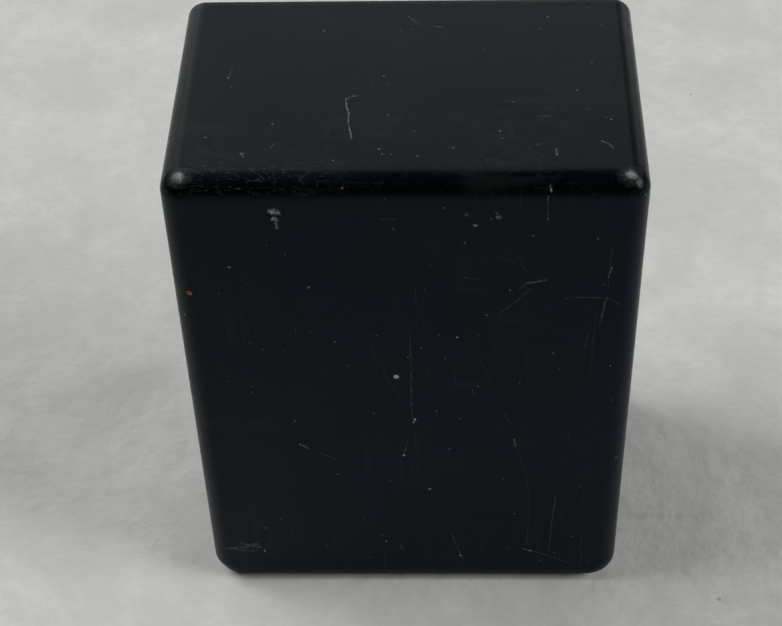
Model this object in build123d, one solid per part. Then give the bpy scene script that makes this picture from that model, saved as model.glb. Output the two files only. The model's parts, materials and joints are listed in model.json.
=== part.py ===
"""Bench demagnetizer for watches and small tools.

A mains coil stands in a deep moulded case.  The case is plain on five sides and open at the
back, where a flat panel carries everything: the blind round well that the watch goes into,
the momentary push switch, the cord grommet and the terminal block.

Frame, in millimetres: +Z up, X across, +Y towards the panel.  The origin is the middle of the
base face that the case stands on.  Every sub-part is written to parts/NODE.step.
"""

import math
import os

from build123d import *

# ---------------------------------------------------------------- driving dimensions
CASE_W = 76.0  # X
CASE_D = 48.0  # Y, closed face to open rim
CASE_H = 100.0  # Z
EDGE_R = 3.5  # rounding of the closed face's edges and of the two upper long edges
FOOT_R = 5.3  # rounding of the two lower long edges
CAVITY_R = 2.3  # upright corners inside
SEAT_R = 3.8  # corners of the panel's recess
RIM_R = 0.4
WALL = 3.0
PANEL_T = 2.0
PANEL_LAP = 1.5  # width of the ledge that the panel sits on
PANEL_GAP = 0.15  # all round, between the panel and its recess

WELL_R = 23.0  # clear radius of the well
WELL_X, WELL_Z = 0.0, 60.0
LINER_T = 1.3
LINER_LIP_R = 27.4
LINER_LIP_T = 1.8
WINDING_DEPTH = 5.8  # radial build of copper
TAPE_T = 0.6
FLANGE_R = 33.4
FLANGE_T = 2.0
FELT_T = 3.0
EAR_X, EAR_Z = 26.5, 24.5  # bobbin screws, from the well's axis
EAR_R = 3.4

BOSS_R = 4.0
BOSS_X = 30.5
BOSS_Z = 42.5  # from mid height
INSERT_R = 2.3
INSERT_L = 7.5

ROW_Z = 15.5  # switch, grommet and terminal block share this height
SWITCH_X = 0.0
GROMMET_X = 19.5
BLOCK_X = -19.5

BUSH_R = 6.0
BUSH_PITCH = 0.75
BUSH_BORE_R = 4.2
BUTTON_R = 4.12
BUTTON_TRAVEL = 2.5
SPRING_R = 2.6
SPRING_WIRE_R = 0.22
SPRING_TURNS = 5
SWITCH_R = 7.2
CORD_HOLE_R = 3.2
GROMMET_NECK_R = 4.9
GROMMET_LIP_R = 6.9
GROMMET_LIP_T = 1.9
LEAD_R = 0.85
SLEEVE_R = 1.45
SLEEVE_L = 9.0
TAIL_X = (-4.0, -11.0)  # the two coil tails leave side by side, under the coil

CLEAR = 0.15  # general radial clearance between separate fixed pieces
FIT = 0.02  # close fit of an insert in its hole
EPS = 0.5  # overshoot of a cutting tool

# ---------------------------------------------------------------- worked-out positions
Y_FACE = -CASE_D / 2  # closed face
Y_RIM = CASE_D / 2  # rim, level with the panel's outer face
Y_UNDER = Y_RIM - PANEL_T  # panel's inner face
Y_FLOOR = Y_FACE + WALL  # inside of the closed face
MID_Z = CASE_H / 2
Y_BOBBIN_REAR = Y_FLOOR + FELT_T

LINER_R = WELL_R + LINER_T
BOBBIN_BORE_R = LINER_R + CLEAR
BOBBIN_TUBE_R = BOBBIN_BORE_R + 1.2
WINDING_IN_R = BOBBIN_TUBE_R + 0.05
WINDING_OUT_R = WINDING_IN_R + WINDING_DEPTH
TAPE_OUT_R = WINDING_OUT_R + 0.05 + TAPE_T
SLEEVE_START = Y_BOBBIN_REAR + FLANGE_T + 0.4
SLEEVE_END = SLEEVE_START + SLEEVE_L

Y_BUSH_TOP = Y_RIM + 4.2
Y_BUSH_FLANGE = Y_UNDER - 1.4
Y_BUTTON_TOP = Y_BUSH_TOP + 3.6
Y_BUTTON_SKIRT = Y_BUSH_FLANGE - 1.6
Y_SHELF_TOP = Y_BUTTON_SKIRT - 5.8
SHELF_T = 1.2
Y_PLATE_TOP = Y_BUSH_FLANGE - 14.0
PLATE_T = 2.0
STEM_R = 1.2
STEM_END_R = 0.6
BRIDGE_T = 0.6
CONTACT_X = 3.4
CONTACT_TOP = Y_PLATE_TOP + 0.85
Y_BRIDGE = CONTACT_TOP + BUTTON_TRAVEL + 0.05  # underside of the moving bridge, at rest
CLIP_T = 0.5
TAG_LENGTH = 6.2
Y_TAG_EYE = Y_PLATE_TOP - PLATE_T - TAG_LENGTH + 1.3

BLOCK_W, BLOCK_H, BLOCK_D = 12.0, 17.0, 10.5
POLE_PITCH = 8.0
BARREL_R = 2.2
Y_BARREL = Y_UNDER - 5.2

SCREW_R = 1.4  # M3 shank
SCREW_HOLE_R = 1.6
HEAD_R = 2.75
HEAD_T = 1.25
NUT_AF, NUT_T = 5.5, 2.4
WASHER_R, WASHER_T = 3.1, 0.5


# ---------------------------------------------------------------- helpers
def plane_at(y):
    """Sketch plane facing -Y at height y: local x is X and local y is Z."""
    return Plane(origin=(0, y, 0), x_dir=(1, 0, 0), z_dir=(0, -1, 0))


def slab(sketch, y_low, y_high):
    """A flat sketch drawn in X and Z, made solid between two depths."""
    return extrude(plane_at(y_high) * sketch, amount=y_high - y_low)


def disc(radius, y_low, y_high, x=0.0, z=0.0):
    """A round bar along Y."""
    return slab(Pos(x, z) * Circle(radius), y_low, y_high)


def ring(outer, inner, y_low, y_high, x=0.0, z=0.0):
    return slab(Pos(x, z) * (Circle(outer) - Circle(inner)), y_low, y_high)


def cone(radius_low, radius_high, y_low, y_high, x=0.0, z=0.0):
    """A cone along Y: radius_low at y_low, radius_high at y_high."""
    profile = Polyline((0, y_low), (radius_low, y_low), (radius_high, y_high), (0, y_high), close=True)
    return Pos(x, 0, z) * revolve(make_face(profile), Axis.Y)


def turned(points, x=0.0, z=0.0):
    """A solid of revolution about Y from (radius, y) points."""
    return Pos(x, 0, z) * revolve(make_face(Polyline(*points, close=True)), Axis.Y)


def rounded(width, height, radius):
    return RectangleRounded(width, height, radius)


def corners(dx, dz, x=0.0, z=0.0):
    return [(x + sx * dx, z + sz * dz) for sx in (-1, 1) for sz in (-1, 1)]


def join(shapes):
    """Separate solids kept as one group."""
    return Compound(children=[s for shape in shapes for s in shape.solids()])


def csk_screw(x, z, y_face, length):
    """Countersunk slotted screw with its head just under y_face, pointing to -Y."""
    top = y_face - 0.05
    body = cone(SCREW_R, HEAD_R, top - HEAD_T, top, x, z)
    body += disc(SCREW_R, top - length, top - HEAD_T, x, z)
    slot = Pos(x, top, z) * Box(2 * HEAD_R + EPS, 1.3, 0.8)
    return body - slot


def csk_hole(x, z, y_face, depth):
    """The matching hole, as a cutting tool."""
    tool = disc(SCREW_HOLE_R, y_face - depth - EPS, y_face + EPS, x, z)
    return tool + cone(SCREW_HOLE_R, HEAD_R + CLEAR, y_face - HEAD_T - 0.1, y_face, x, z)


def hex_nut(across_flats, bore_r, y_low, y_high, x, z, turn=0.0):
    """A hexagon nut along Y with its corners chamfered."""
    outline = Pos(x, z) * Rot(0, 0, turn) * RegularPolygon(across_flats / 2, 6, major_radius=False)
    blank = slab(outline, y_low, y_high)
    reach = across_flats / math.sqrt(3)
    chamfer_t = 0.18 * (y_high - y_low)
    lathe = cone(reach, reach - 2.2 * chamfer_t, y_high - chamfer_t, y_high, x, z)
    lathe += disc(reach + EPS, y_low, y_high - chamfer_t, x, z)
    return (blank & lathe) - disc(bore_r, y_low - EPS, y_high + EPS, x, z)


# ---------------------------------------------------------------- case
def case_shell():
    """Deep moulded box, closed at -Y, with the panel's ledge and four insert bosses."""
    outer = Pos(0, 0, MID_Z) * Box(CASE_W, CASE_D, CASE_H)
    outer = fillet([e for e in outer.edges().filter_by(Axis.Y) if e.center().Z < EPS], FOOT_R)
    round_edges = [e for e in outer.edges().filter_by(Axis.Y) if e.center().Z > CASE_H - EPS]
    round_edges += outer.faces().sort_by(Axis.Y)[0].edges()
    outer = fillet(round_edges, EDGE_R)
    cavity_w, cavity_h = CASE_W - 2 * WALL, CASE_H - 2 * WALL
    cavity = slab(Pos(0, MID_Z) * rounded(cavity_w, cavity_h, CAVITY_R), Y_FLOOR, Y_RIM + EPS)
    floor_edges = cavity.faces().sort_by(Axis.Y)[0].edges()
    cavity = fillet(floor_edges, CAVITY_R * 0.6)
    shell = outer - cavity
    lap = WALL - PANEL_LAP
    recess = rounded(CASE_W - 2 * lap, CASE_H - 2 * lap, SEAT_R)
    for x, z in corners(BOSS_X, BOSS_Z, z=MID_Z):
        shell += disc(BOSS_R, Y_FLOOR - EPS, Y_UNDER, x, z)
        shell += boss_web(x, z)
    shell -= slab(Pos(0, MID_Z) * recess, Y_UNDER, Y_RIM + EPS)
    for x, z in corners(BOSS_X, BOSS_Z, z=MID_Z):
        shell -= disc(INSERT_R + FIT, Y_UNDER - INSERT_L, Y_UNDER + EPS, x, z)
        shell -= disc(SCREW_HOLE_R, Y_UNDER - INSERT_L - 3.0, Y_UNDER, x, z)
    rim = shell.faces().sort_by(Axis.Y)[-1]
    return fillet(rim.outer_wire().edges(), RIM_R)


def boss_web(x, z):
    """Fills the corner between a boss and the two walls beside it."""
    sx = math.copysign(1, x)
    sz = math.copysign(1, z - MID_Z)
    reach_x = CASE_W / 2 - WALL + EPS - abs(x)
    reach_z = CASE_H / 2 - WALL + EPS - abs(z - MID_Z)
    web = Pos(x + sx * reach_x / 2, z + sz * reach_z / 2) * Rectangle(reach_x, reach_z)
    return slab(web, Y_FLOOR - EPS, Y_UNDER)


def panel_inserts():
    """Four brass threaded inserts, each with two knurl grooves."""
    made = []
    for x, z in corners(BOSS_X, BOSS_Z, z=MID_Z):
        insert = ring(INSERT_R, SCREW_R + 0.05, Y_UNDER - INSERT_L, Y_UNDER - 0.05, x, z)
        for share in (0.33, 0.66):
            y = Y_UNDER - INSERT_L * share
            insert -= ring(INSERT_R + EPS, INSERT_R - 0.35, y - 0.4, y + 0.4, x, z)
        made.append(insert)
    return join(made)


def cover_panel():
    """Insulating panel that closes the case, with every opening of the working face."""
    lap = WALL - PANEL_LAP + PANEL_GAP
    outline = rounded(CASE_W - 2 * lap, CASE_H - 2 * lap, SEAT_R - PANEL_GAP)
    panel = slab(Pos(0, MID_Z) * outline, Y_UNDER, Y_RIM)
    edge = panel.faces().sort_by(Axis.Y)[-1].edges()
    panel = fillet(edge, 0.35)
    panel -= disc(LINER_R + CLEAR, Y_UNDER - EPS, Y_RIM + EPS, WELL_X, WELL_Z)
    panel -= disc(BUSH_R + 0.1, Y_UNDER - EPS, Y_RIM + EPS, SWITCH_X, ROW_Z)
    panel -= disc(GROMMET_NECK_R + 0.05, Y_UNDER - EPS, Y_RIM + EPS, GROMMET_X, ROW_Z)
    holes = corners(BOSS_X, BOSS_Z, z=MID_Z) + corners(EAR_X, EAR_Z, WELL_X, WELL_Z)
    holes.append((BLOCK_X, ROW_Z))
    for x, z in holes:
        panel -= csk_hole(x, z, Y_RIM, PANEL_T)
    return panel


def panel_screws():
    return join([csk_screw(x, z, Y_RIM, 8.0) for x, z in corners(BOSS_X, BOSS_Z, z=MID_Z)])


# ---------------------------------------------------------------- coil
def coil_bobbin():
    """Moulded tube with a round rear flange and a lugged front flange against the panel."""
    bobbin = disc(BOBBIN_TUBE_R, Y_BOBBIN_REAR, Y_UNDER, WELL_X, WELL_Z)
    bobbin += disc(FLANGE_R, Y_BOBBIN_REAR, Y_BOBBIN_REAR + FLANGE_T, WELL_X, WELL_Z)
    lugs = [Pos(x, z) * Circle(EAR_R) for x, z in corners(EAR_X, EAR_Z)]
    outline = make_hull([*Circle(FLANGE_R).edges(), *[e for lug in lugs for e in lug.edges()]])
    bobbin += slab(Pos(WELL_X, WELL_Z) * outline, Y_UNDER - FLANGE_T, Y_UNDER)
    bobbin -= disc(BOBBIN_BORE_R, Y_BOBBIN_REAR - EPS, Y_UNDER + EPS, WELL_X, WELL_Z)
    for x, z in corners(EAR_X, EAR_Z, WELL_X, WELL_Z):
        bobbin -= disc(SCREW_HOLE_R, Y_UNDER - FLANGE_T - EPS, Y_UNDER + EPS, x, z)
    return bobbin


def tail_z(x):
    """Height of a sleeve that lies against the underside of the tape."""
    reach = TAPE_OUT_R + SLEEVE_R + 0.1
    return WELL_Z - math.sqrt(reach**2 - (x - WELL_X) ** 2)


def coil_winding():
    y_low, y_high = Y_BOBBIN_REAR + FLANGE_T + 0.05, Y_UNDER - FLANGE_T - 0.05
    return ring(WINDING_OUT_R, WINDING_IN_R, y_low, y_high, WELL_X, WELL_Z)


def coil_tape():
    y_low, y_high = Y_BOBBIN_REAR + FLANGE_T + 0.2, Y_UNDER - FLANGE_T - 0.2
    return ring(TAPE_OUT_R, WINDING_OUT_R + 0.05, y_low, y_high, WELL_X, WELL_Z)


def felt_ring():
    """Felt between the bobbin and the closed face, which stops the coil's hum."""
    return ring(FLANGE_R - 0.6, BOBBIN_TUBE_R, Y_FLOOR, Y_BOBBIN_REAR, WELL_X, WELL_Z)


def well_liner():
    """Blind cup that lines the coil, with a rolled lip on the panel's outer face."""
    y_bottom = Y_FLOOR + 1.0
    y_lip = Y_RIM + LINER_LIP_T
    mouth_r = 1.4
    base_r = 2.0
    start = (0, y_bottom + LINER_T)
    floor_end = (WELL_R - base_r, y_bottom + LINER_T)
    wall_start = (WELL_R, y_bottom + LINER_T + base_r)
    wall_end = (WELL_R, y_lip - mouth_r)
    mouth_end = (WELL_R + mouth_r, y_lip)
    lip_r = LINER_LIP_T / 2
    lip_top = (LINER_LIP_R - lip_r, y_lip)
    lip_side = (LINER_LIP_R, y_lip - lip_r)
    lip_foot = (LINER_LIP_R, Y_RIM)
    neck = (LINER_R, Y_RIM)
    outer_low = (LINER_R, y_bottom + base_r)
    outer_turn = (LINER_R - base_r, y_bottom)
    outline = (
        Line(start, floor_end)
        + RadiusArc(floor_end, wall_start, -base_r)
        + Line(wall_start, wall_end)
        + RadiusArc(wall_end, mouth_end, mouth_r)
        + Line(mouth_end, lip_top)
        + RadiusArc(lip_top, lip_side, lip_r)
        + Polyline(lip_side, lip_foot, neck, outer_low)
        + RadiusArc(outer_low, outer_turn, base_r)
        + Polyline(outer_turn, (0, y_bottom), start)
    )
    return Pos(WELL_X, 0, WELL_Z) * revolve(make_face(outline), Axis.Y)


def bobbin_screws():
    points = corners(EAR_X, EAR_Z, WELL_X, WELL_Z)
    return join([csk_screw(x, z, Y_RIM, 9.4) for x, z in points])


def bobbin_washers():
    y_top = Y_UNDER - FLANGE_T
    points = corners(EAR_X, EAR_Z, WELL_X, WELL_Z)
    return join([ring(WASHER_R, SCREW_HOLE_R, y_top - WASHER_T, y_top, x, z) for x, z in points])


def bobbin_nuts():
    """Hexagon nuts, each with a flat towards the winding."""
    y_top = Y_UNDER - FLANGE_T - WASHER_T
    made = []
    for x, z in corners(EAR_X, EAR_Z, WELL_X, WELL_Z):
        turn = math.degrees(math.atan2(z - WELL_Z, x - WELL_X)) + 30.0
        made.append(hex_nut(NUT_AF, SCREW_R + 0.05, y_top - NUT_T, y_top, x, z, turn))
    return join(made)


# ---------------------------------------------------------------- push switch
def switch_bush():
    """Plated bush with a thread through the panel and a flange behind it."""
    root = BUSH_R - 0.4
    points = [(BUSH_BORE_R, Y_BUSH_FLANGE), (SWITCH_R, Y_BUSH_FLANGE), (SWITCH_R, Y_UNDER)]
    points += [(root, Y_UNDER), (root, Y_RIM)]
    turns = int((Y_BUSH_TOP - Y_RIM - 0.4) / BUSH_PITCH)
    for i in range(turns):
        y = Y_RIM + i * BUSH_PITCH
        points += [(BUSH_R, y + BUSH_PITCH / 2), (root, y + BUSH_PITCH)]
    points += [(BUSH_R - 0.3, Y_BUSH_TOP - 0.35), (BUSH_R - 0.65, Y_BUSH_TOP)]
    points += [(BUSH_BORE_R + 0.4, Y_BUSH_TOP), (BUSH_BORE_R, Y_BUSH_TOP - 0.4)]
    return turned(points, SWITCH_X, ROW_Z)


def switch_nut():
    y_low = Y_RIM + 0.7
    return hex_nut(14.0, BUSH_R + 0.05, y_low, y_low + 2.2, SWITCH_X, ROW_Z, 30.0)


def switch_lock_washer():
    """Spring washer with outer teeth."""
    washer = Circle(8.6) - Circle(BUSH_R + 0.1)
    teeth = 16
    for i in range(teeth):
        washer -= Rot(0, 0, 360.0 * i / teeth) * Pos(8.6, 0) * Rectangle(1.4, 1.1)
    return slab(Pos(SWITCH_X, ROW_Z) * washer, Y_RIM, Y_RIM + 0.7)


def switch_body():
    """Moulded barrel with a shelf that the return spring stands on."""
    body = ring(SWITCH_R, 5.6, Y_PLATE_TOP, Y_BUSH_FLANGE, SWITCH_X, ROW_Z)
    shelf_low = Y_SHELF_TOP - SHELF_T
    return body + ring(5.9, STEM_R + 0.2, shelf_low, Y_SHELF_TOP, SWITCH_X, ROW_Z)


def contact_plate():
    """Insulating plate that closes the switch and carries its fixed contacts."""
    plate = disc(SWITCH_R, Y_PLATE_TOP - PLATE_T, Y_PLATE_TOP, SWITCH_X, ROW_Z)
    for side in (-1, 1):
        x = SWITCH_X + side * CONTACT_X
        plate -= disc(0.85, Y_PLATE_TOP - PLATE_T - EPS, Y_PLATE_TOP + EPS, x, ROW_Z)
    return plate


def fixed_contacts():
    """Two rivets, each with a domed contact inside and a solder tag outside."""
    made = []
    y_out = Y_PLATE_TOP - PLATE_T
    for side in (-1, 1):
        x = SWITCH_X + side * CONTACT_X
        rivet = turned(
            [
                (0, y_out - 0.6),
                (0.8, y_out - 0.6),
                (0.8, Y_PLATE_TOP),
                (1.45, Y_PLATE_TOP),
                (1.45, CONTACT_TOP - 0.4),
                (0.9, CONTACT_TOP),
                (0, CONTACT_TOP),
            ],
            x,
            ROW_Z,
        )
        foot = slab(Pos(x, ROW_Z) * rounded(2.8, 3.2, 0.6), y_out - 0.6, y_out)
        blade = slab(Pos(x, ROW_Z) * Rectangle(2.4, 0.6), y_out - TAG_LENGTH, y_out - 0.5)
        eye = Pos(x, Y_TAG_EYE, ROW_Z) * Cylinder(0.55, 3.0)
        made.append(rivet + foot + blade - eye)
    return join(made)


def button_cap():
    """Domed push button with a skirt that stops it against the bush."""
    skirt_top = Y_BUSH_FLANGE - 0.1
    dome_r = 24.0
    cap = disc(BUTTON_R, Y_BUTTON_SKIRT, Y_BUTTON_TOP, SWITCH_X, ROW_Z)
    cap &= Pos(SWITCH_X, Y_BUTTON_TOP - dome_r, ROW_Z) * Sphere(dome_r)
    cap = fillet(cap.faces().sort_by(Axis.Y)[-1].edges(), 0.9)
    cap += disc(5.2, Y_BUTTON_SKIRT, skirt_top, SWITCH_X, ROW_Z)
    return cap - disc(STEM_R + FIT, Y_BUTTON_SKIRT - EPS, Y_BUTTON_SKIRT + 5.0, SWITCH_X, ROW_Z)


def plunger_stem():
    """Steel stem from the button down to the contact bridge."""
    shoulder = Y_BRIDGE + BRIDGE_T
    end = Y_BRIDGE - CLIP_T - 0.3
    points = [(0, Y_BUTTON_SKIRT + 5.0), (STEM_R, Y_BUTTON_SKIRT + 5.0), (STEM_R, shoulder)]
    points += [(STEM_END_R, shoulder), (STEM_END_R, end), (0, end)]
    return turned(points, SWITCH_X, ROW_Z)


def contact_bridge():
    """Brass strip that joins the two fixed contacts when the button is down."""
    strip = Pos(SWITCH_X, ROW_Z) * (rounded(9.4, 3.2, 0.8) - Circle(STEM_END_R + 0.03))
    return slab(strip, Y_BRIDGE, Y_BRIDGE + BRIDGE_T)


def stem_clip():
    """E-clip that holds the bridge on the stem."""
    clip = Circle(1.7) - Circle(STEM_END_R + 0.02) - Pos(0, -1.2) * Rectangle(0.8, 2.4)
    return slab(Pos(SWITCH_X, ROW_Z) * clip, Y_BRIDGE - CLIP_T, Y_BRIDGE)


def return_spring():
    """Compression spring round the stem, between the shelf and the button."""
    y_low = Y_SHELF_TOP + SPRING_WIRE_R + 0.02
    length = Y_BUTTON_SKIRT - Y_SHELF_TOP - 2 * SPRING_WIRE_R - 0.04
    coil = Helix(pitch=length / SPRING_TURNS, height=length, radius=SPRING_R)
    wire = sweep(Plane(coil @ 0, z_dir=coil % 0) * Circle(SPRING_WIRE_R), path=coil)
    return Pos(SWITCH_X, y_low, ROW_Z) * Rot(-90, 0, 0) * wire


# ---------------------------------------------------------------- cord entry and terminals
def cord_grommet():
    """Rubber grommet that snaps into the panel and lines the cord's hole."""
    y_out, y_in = Y_RIM + GROMMET_LIP_T, Y_UNDER - GROMMET_LIP_T
    soft = 0.8
    outline = (
        Line((CORD_HOLE_R, y_in + soft / 2), (CORD_HOLE_R, y_out - soft / 2))
        + RadiusArc((CORD_HOLE_R, y_out - soft / 2), (CORD_HOLE_R + soft / 2, y_out), soft / 2)
        + Line((CORD_HOLE_R + soft / 2, y_out), (GROMMET_LIP_R - soft, y_out))
        + RadiusArc((GROMMET_LIP_R - soft, y_out), (GROMMET_LIP_R, y_out - soft), soft)
        + Polyline((GROMMET_LIP_R, y_out - soft), (GROMMET_LIP_R, Y_RIM), (GROMMET_NECK_R, Y_RIM))
        + Polyline((GROMMET_NECK_R, Y_RIM), (GROMMET_NECK_R, Y_UNDER), (GROMMET_LIP_R, Y_UNDER))
        + Line((GROMMET_LIP_R, Y_UNDER), (GROMMET_LIP_R, y_in + soft))
        + RadiusArc((GROMMET_LIP_R, y_in + soft), (GROMMET_LIP_R - soft, y_in), soft)
        + Line((GROMMET_LIP_R - soft, y_in), (CORD_HOLE_R + soft / 2, y_in))
        + RadiusArc((CORD_HOLE_R + soft / 2, y_in), (CORD_HOLE_R, y_in + soft / 2), soft / 2)
    )
    return Pos(GROMMET_X, 0, ROW_Z) * revolve(make_face(outline), Axis.Y)


def pole_heights():
    return (ROW_Z - POLE_PITCH / 2, ROW_Z + POLE_PITCH / 2)


def clamp_places():
    return [(BLOCK_X + side * 3.4, z) for z in pole_heights() for side in (-1, 1)]


def terminal_block():
    """Two-pole screw terminal block, with the screws facing into the case."""
    y_low = Y_UNDER - BLOCK_D
    block = slab(Pos(BLOCK_X, ROW_Z) * rounded(BLOCK_W, BLOCK_H, 0.8), y_low, Y_UNDER)
    waist = Pos(BLOCK_X, ROW_Z) * Rectangle(BLOCK_W + EPS, 1.2)
    block -= slab(waist, y_low - EPS, y_low + 2.4)
    for z in pole_heights():
        block -= Pos(BLOCK_X, Y_BARREL, z) * Rot(0, 90, 0) * Cylinder(BARREL_R + 0.05, BLOCK_W + EPS)
    for x, z in clamp_places():
        block -= disc(1.75, y_low - EPS, Y_BARREL, x, z)
    return block - disc(SCREW_HOLE_R, y_low - EPS, Y_UNDER + EPS, BLOCK_X, ROW_Z)


def terminal_barrels():
    """One brass barrel to each pole, with two tapped holes."""
    made = []
    for z in pole_heights():
        barrel = Pos(BLOCK_X, Y_BARREL, z) * Rot(0, 90, 0) * Cylinder(BARREL_R, BLOCK_W - 0.6)
        barrel -= Pos(BLOCK_X, Y_BARREL, z) * Rot(0, 90, 0) * Cylinder(1.35, BLOCK_W + EPS)
        for x in (BLOCK_X - 3.4, BLOCK_X + 3.4):
            barrel -= disc(0.95, Y_BARREL - BARREL_R - EPS, Y_BARREL, x, z)
        made.append(barrel)
    return join(made)


def terminal_screws():
    made = []
    for x, z in clamp_places():
        y_head = Y_BARREL - BARREL_R - 1.6
        screw = disc(1.6, y_head, y_head + 1.2, x, z)
        screw += disc(0.9, y_head + 1.2, Y_BARREL - 0.95, x, z)
        screw -= Pos(x, y_head, z) * Box(3.4, 0.9, 0.5)
        made.append(screw)
    return join(made)


def block_screw():
    """Screw through the panel and the block."""
    return csk_screw(BLOCK_X, ROW_Z, Y_RIM, PANEL_T + BLOCK_D + 2.2)


def block_nut():
    """Low nut on the inner face of the block."""
    y_high = Y_UNDER - BLOCK_D
    return hex_nut(5.0, SCREW_R + 0.05, y_high - 1.8, y_high, BLOCK_X, ROW_Z)


# ---------------------------------------------------------------- internal leads
def lead(points, radii):
    """An insulated wire along straight runs joined by tangent arcs."""
    path = FilletPolyline(*points, radius=radii)
    section = Plane(origin=path @ 0, z_dir=path % 0) * Circle(LEAD_R)
    return sweep(section, path=path)


def lead_coil_to_switch():
    x = TAIL_X[0]
    z = tail_z(x)
    points = [(x, SLEEVE_END, z), (x, Y_TAG_EYE, z), (-CONTACT_X, Y_TAG_EYE, ROW_Z + 1.25)]
    return lead(points, 3.5)


def lead_coil_to_block():
    x = TAIL_X[1]
    z = tail_z(x)
    z_pole = pole_heights()[1]
    points = [(x, SLEEVE_END, z), (x, 3.0, z), (x + 0.9, 8.0, z_pole + 2.4)]
    points += [(x + 0.9, Y_BARREL - 0.6, z_pole), (BLOCK_X + BLOCK_W / 2 + 0.1, Y_BARREL, z_pole)]
    return lead(points, [4.0, 5.0, 1.5])


def lead_switch_to_block():
    z_pole = pole_heights()[0]
    points = [(CONTACT_X, Y_TAG_EYE, ROW_Z - 1.25), (CONTACT_X, Y_TAG_EYE, 8.2)]
    points += [(-5.0, Y_TAG_EYE + 0.8, 5.6), (-10.6, 8.0, 7.4), (-10.2, Y_BARREL - 0.4, z_pole)]
    points += [(BLOCK_X + BLOCK_W / 2 + 0.1, Y_BARREL, z_pole)]
    return lead(points, [3.0, 4.5, 4.0, 1.2])


def joint_sleeves():
    """Sleeves over the joints between the coil's tails and its leads."""
    return join([disc(SLEEVE_R, SLEEVE_START, SLEEVE_END, x, tail_z(x)) for x in TAIL_X])


# ---------------------------------------------------------------- write
NODES = [
    case_shell,
    panel_inserts,
    cover_panel,
    panel_screws,
    coil_bobbin,
    coil_winding,
    coil_tape,
    felt_ring,
    well_liner,
    bobbin_screws,
    bobbin_washers,
    bobbin_nuts,
    switch_bush,
    switch_nut,
    switch_lock_washer,
    switch_body,
    contact_plate,
    fixed_contacts,
    button_cap,
    plunger_stem,
    contact_bridge,
    stem_clip,
    return_spring,
    cord_grommet,
    terminal_block,
    terminal_barrels,
    terminal_screws,
    block_screw,
    block_nut,
    joint_sleeves,
    lead_coil_to_switch,
    lead_coil_to_block,
    lead_switch_to_block,
]

os.makedirs("parts", exist_ok=True)
for make in NODES:
    export_step(make(), f"parts/{make.__name__}.step")
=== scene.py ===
"""Looks of the bench demagnetizer: a black moulded case that stands on a pale surface, seen from
above its plain face, with the working panel on the far side.  Lengths are in metres."""

import json
import math
import random

import bmesh
import bpy
import numpy as np
from mathutils import Matrix, Vector

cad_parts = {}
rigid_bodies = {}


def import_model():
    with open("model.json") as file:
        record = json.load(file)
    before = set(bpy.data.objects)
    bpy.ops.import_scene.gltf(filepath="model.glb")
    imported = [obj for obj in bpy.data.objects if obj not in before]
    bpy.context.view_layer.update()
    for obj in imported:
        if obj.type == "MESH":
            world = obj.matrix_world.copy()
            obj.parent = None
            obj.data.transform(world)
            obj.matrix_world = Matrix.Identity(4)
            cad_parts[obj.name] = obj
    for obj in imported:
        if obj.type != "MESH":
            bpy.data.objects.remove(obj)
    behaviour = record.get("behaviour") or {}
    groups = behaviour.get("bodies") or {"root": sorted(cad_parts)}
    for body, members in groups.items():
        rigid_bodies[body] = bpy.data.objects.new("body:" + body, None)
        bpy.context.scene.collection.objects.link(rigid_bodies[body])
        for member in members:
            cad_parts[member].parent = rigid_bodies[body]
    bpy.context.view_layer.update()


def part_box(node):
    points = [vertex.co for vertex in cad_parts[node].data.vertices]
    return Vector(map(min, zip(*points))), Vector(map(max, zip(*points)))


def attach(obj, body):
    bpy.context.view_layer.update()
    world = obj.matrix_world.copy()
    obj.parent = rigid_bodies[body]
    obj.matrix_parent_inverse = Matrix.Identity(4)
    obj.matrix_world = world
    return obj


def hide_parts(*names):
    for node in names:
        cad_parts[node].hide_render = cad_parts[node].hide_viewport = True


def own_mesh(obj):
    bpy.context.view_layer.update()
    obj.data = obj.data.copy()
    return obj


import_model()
MM = 0.001

# ---- node helpers


class Nodes:
    """A node tree whose nodes are added one call at a time."""

    def __init__(self, tree):
        self.tree = tree

    def node(self, kind, inputs=(), **settings):
        """A new node with its settings and its inputs, each of which is a socket or a value."""
        made = self.tree.nodes.new(kind)
        for key, value in settings.items():
            setattr(made, key, value)
        for key, value in dict(inputs).items():
            self.plug(made.inputs[key], value)
        return made

    def plug(self, socket, value):
        """Links value if it is a socket, and otherwise sets it."""
        if isinstance(value, bpy.types.NodeSocket):
            self.tree.links.new(value, socket)
        else:
            socket.default_value = value

    def math(self, operation, a, b=0.0, clamp=False):
        return self.node("ShaderNodeMath", {0: a, 1: b}, operation=operation, use_clamp=clamp).outputs[0]

    def vector(self, operation, a, b=(0, 0, 0)):
        second = "Scale" if operation == "SCALE" else 1
        made = self.node("ShaderNodeVectorMath", {0: a, second: b}, operation=operation)
        return made.outputs["Value" if operation in ("DOT_PRODUCT", "LENGTH", "DISTANCE") else "Vector"]

    def ramp(self, value, low, high, out_low=0.0, out_high=1.0):
        """Smooth step from low to high."""
        ends = {"Value": value, "From Min": low, "From Max": high, "To Min": out_low, "To Max": out_high}
        made = self.node("ShaderNodeMapRange", ends, interpolation_type="SMOOTHSTEP", clamp=False)
        return made.outputs["Result"]


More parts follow.
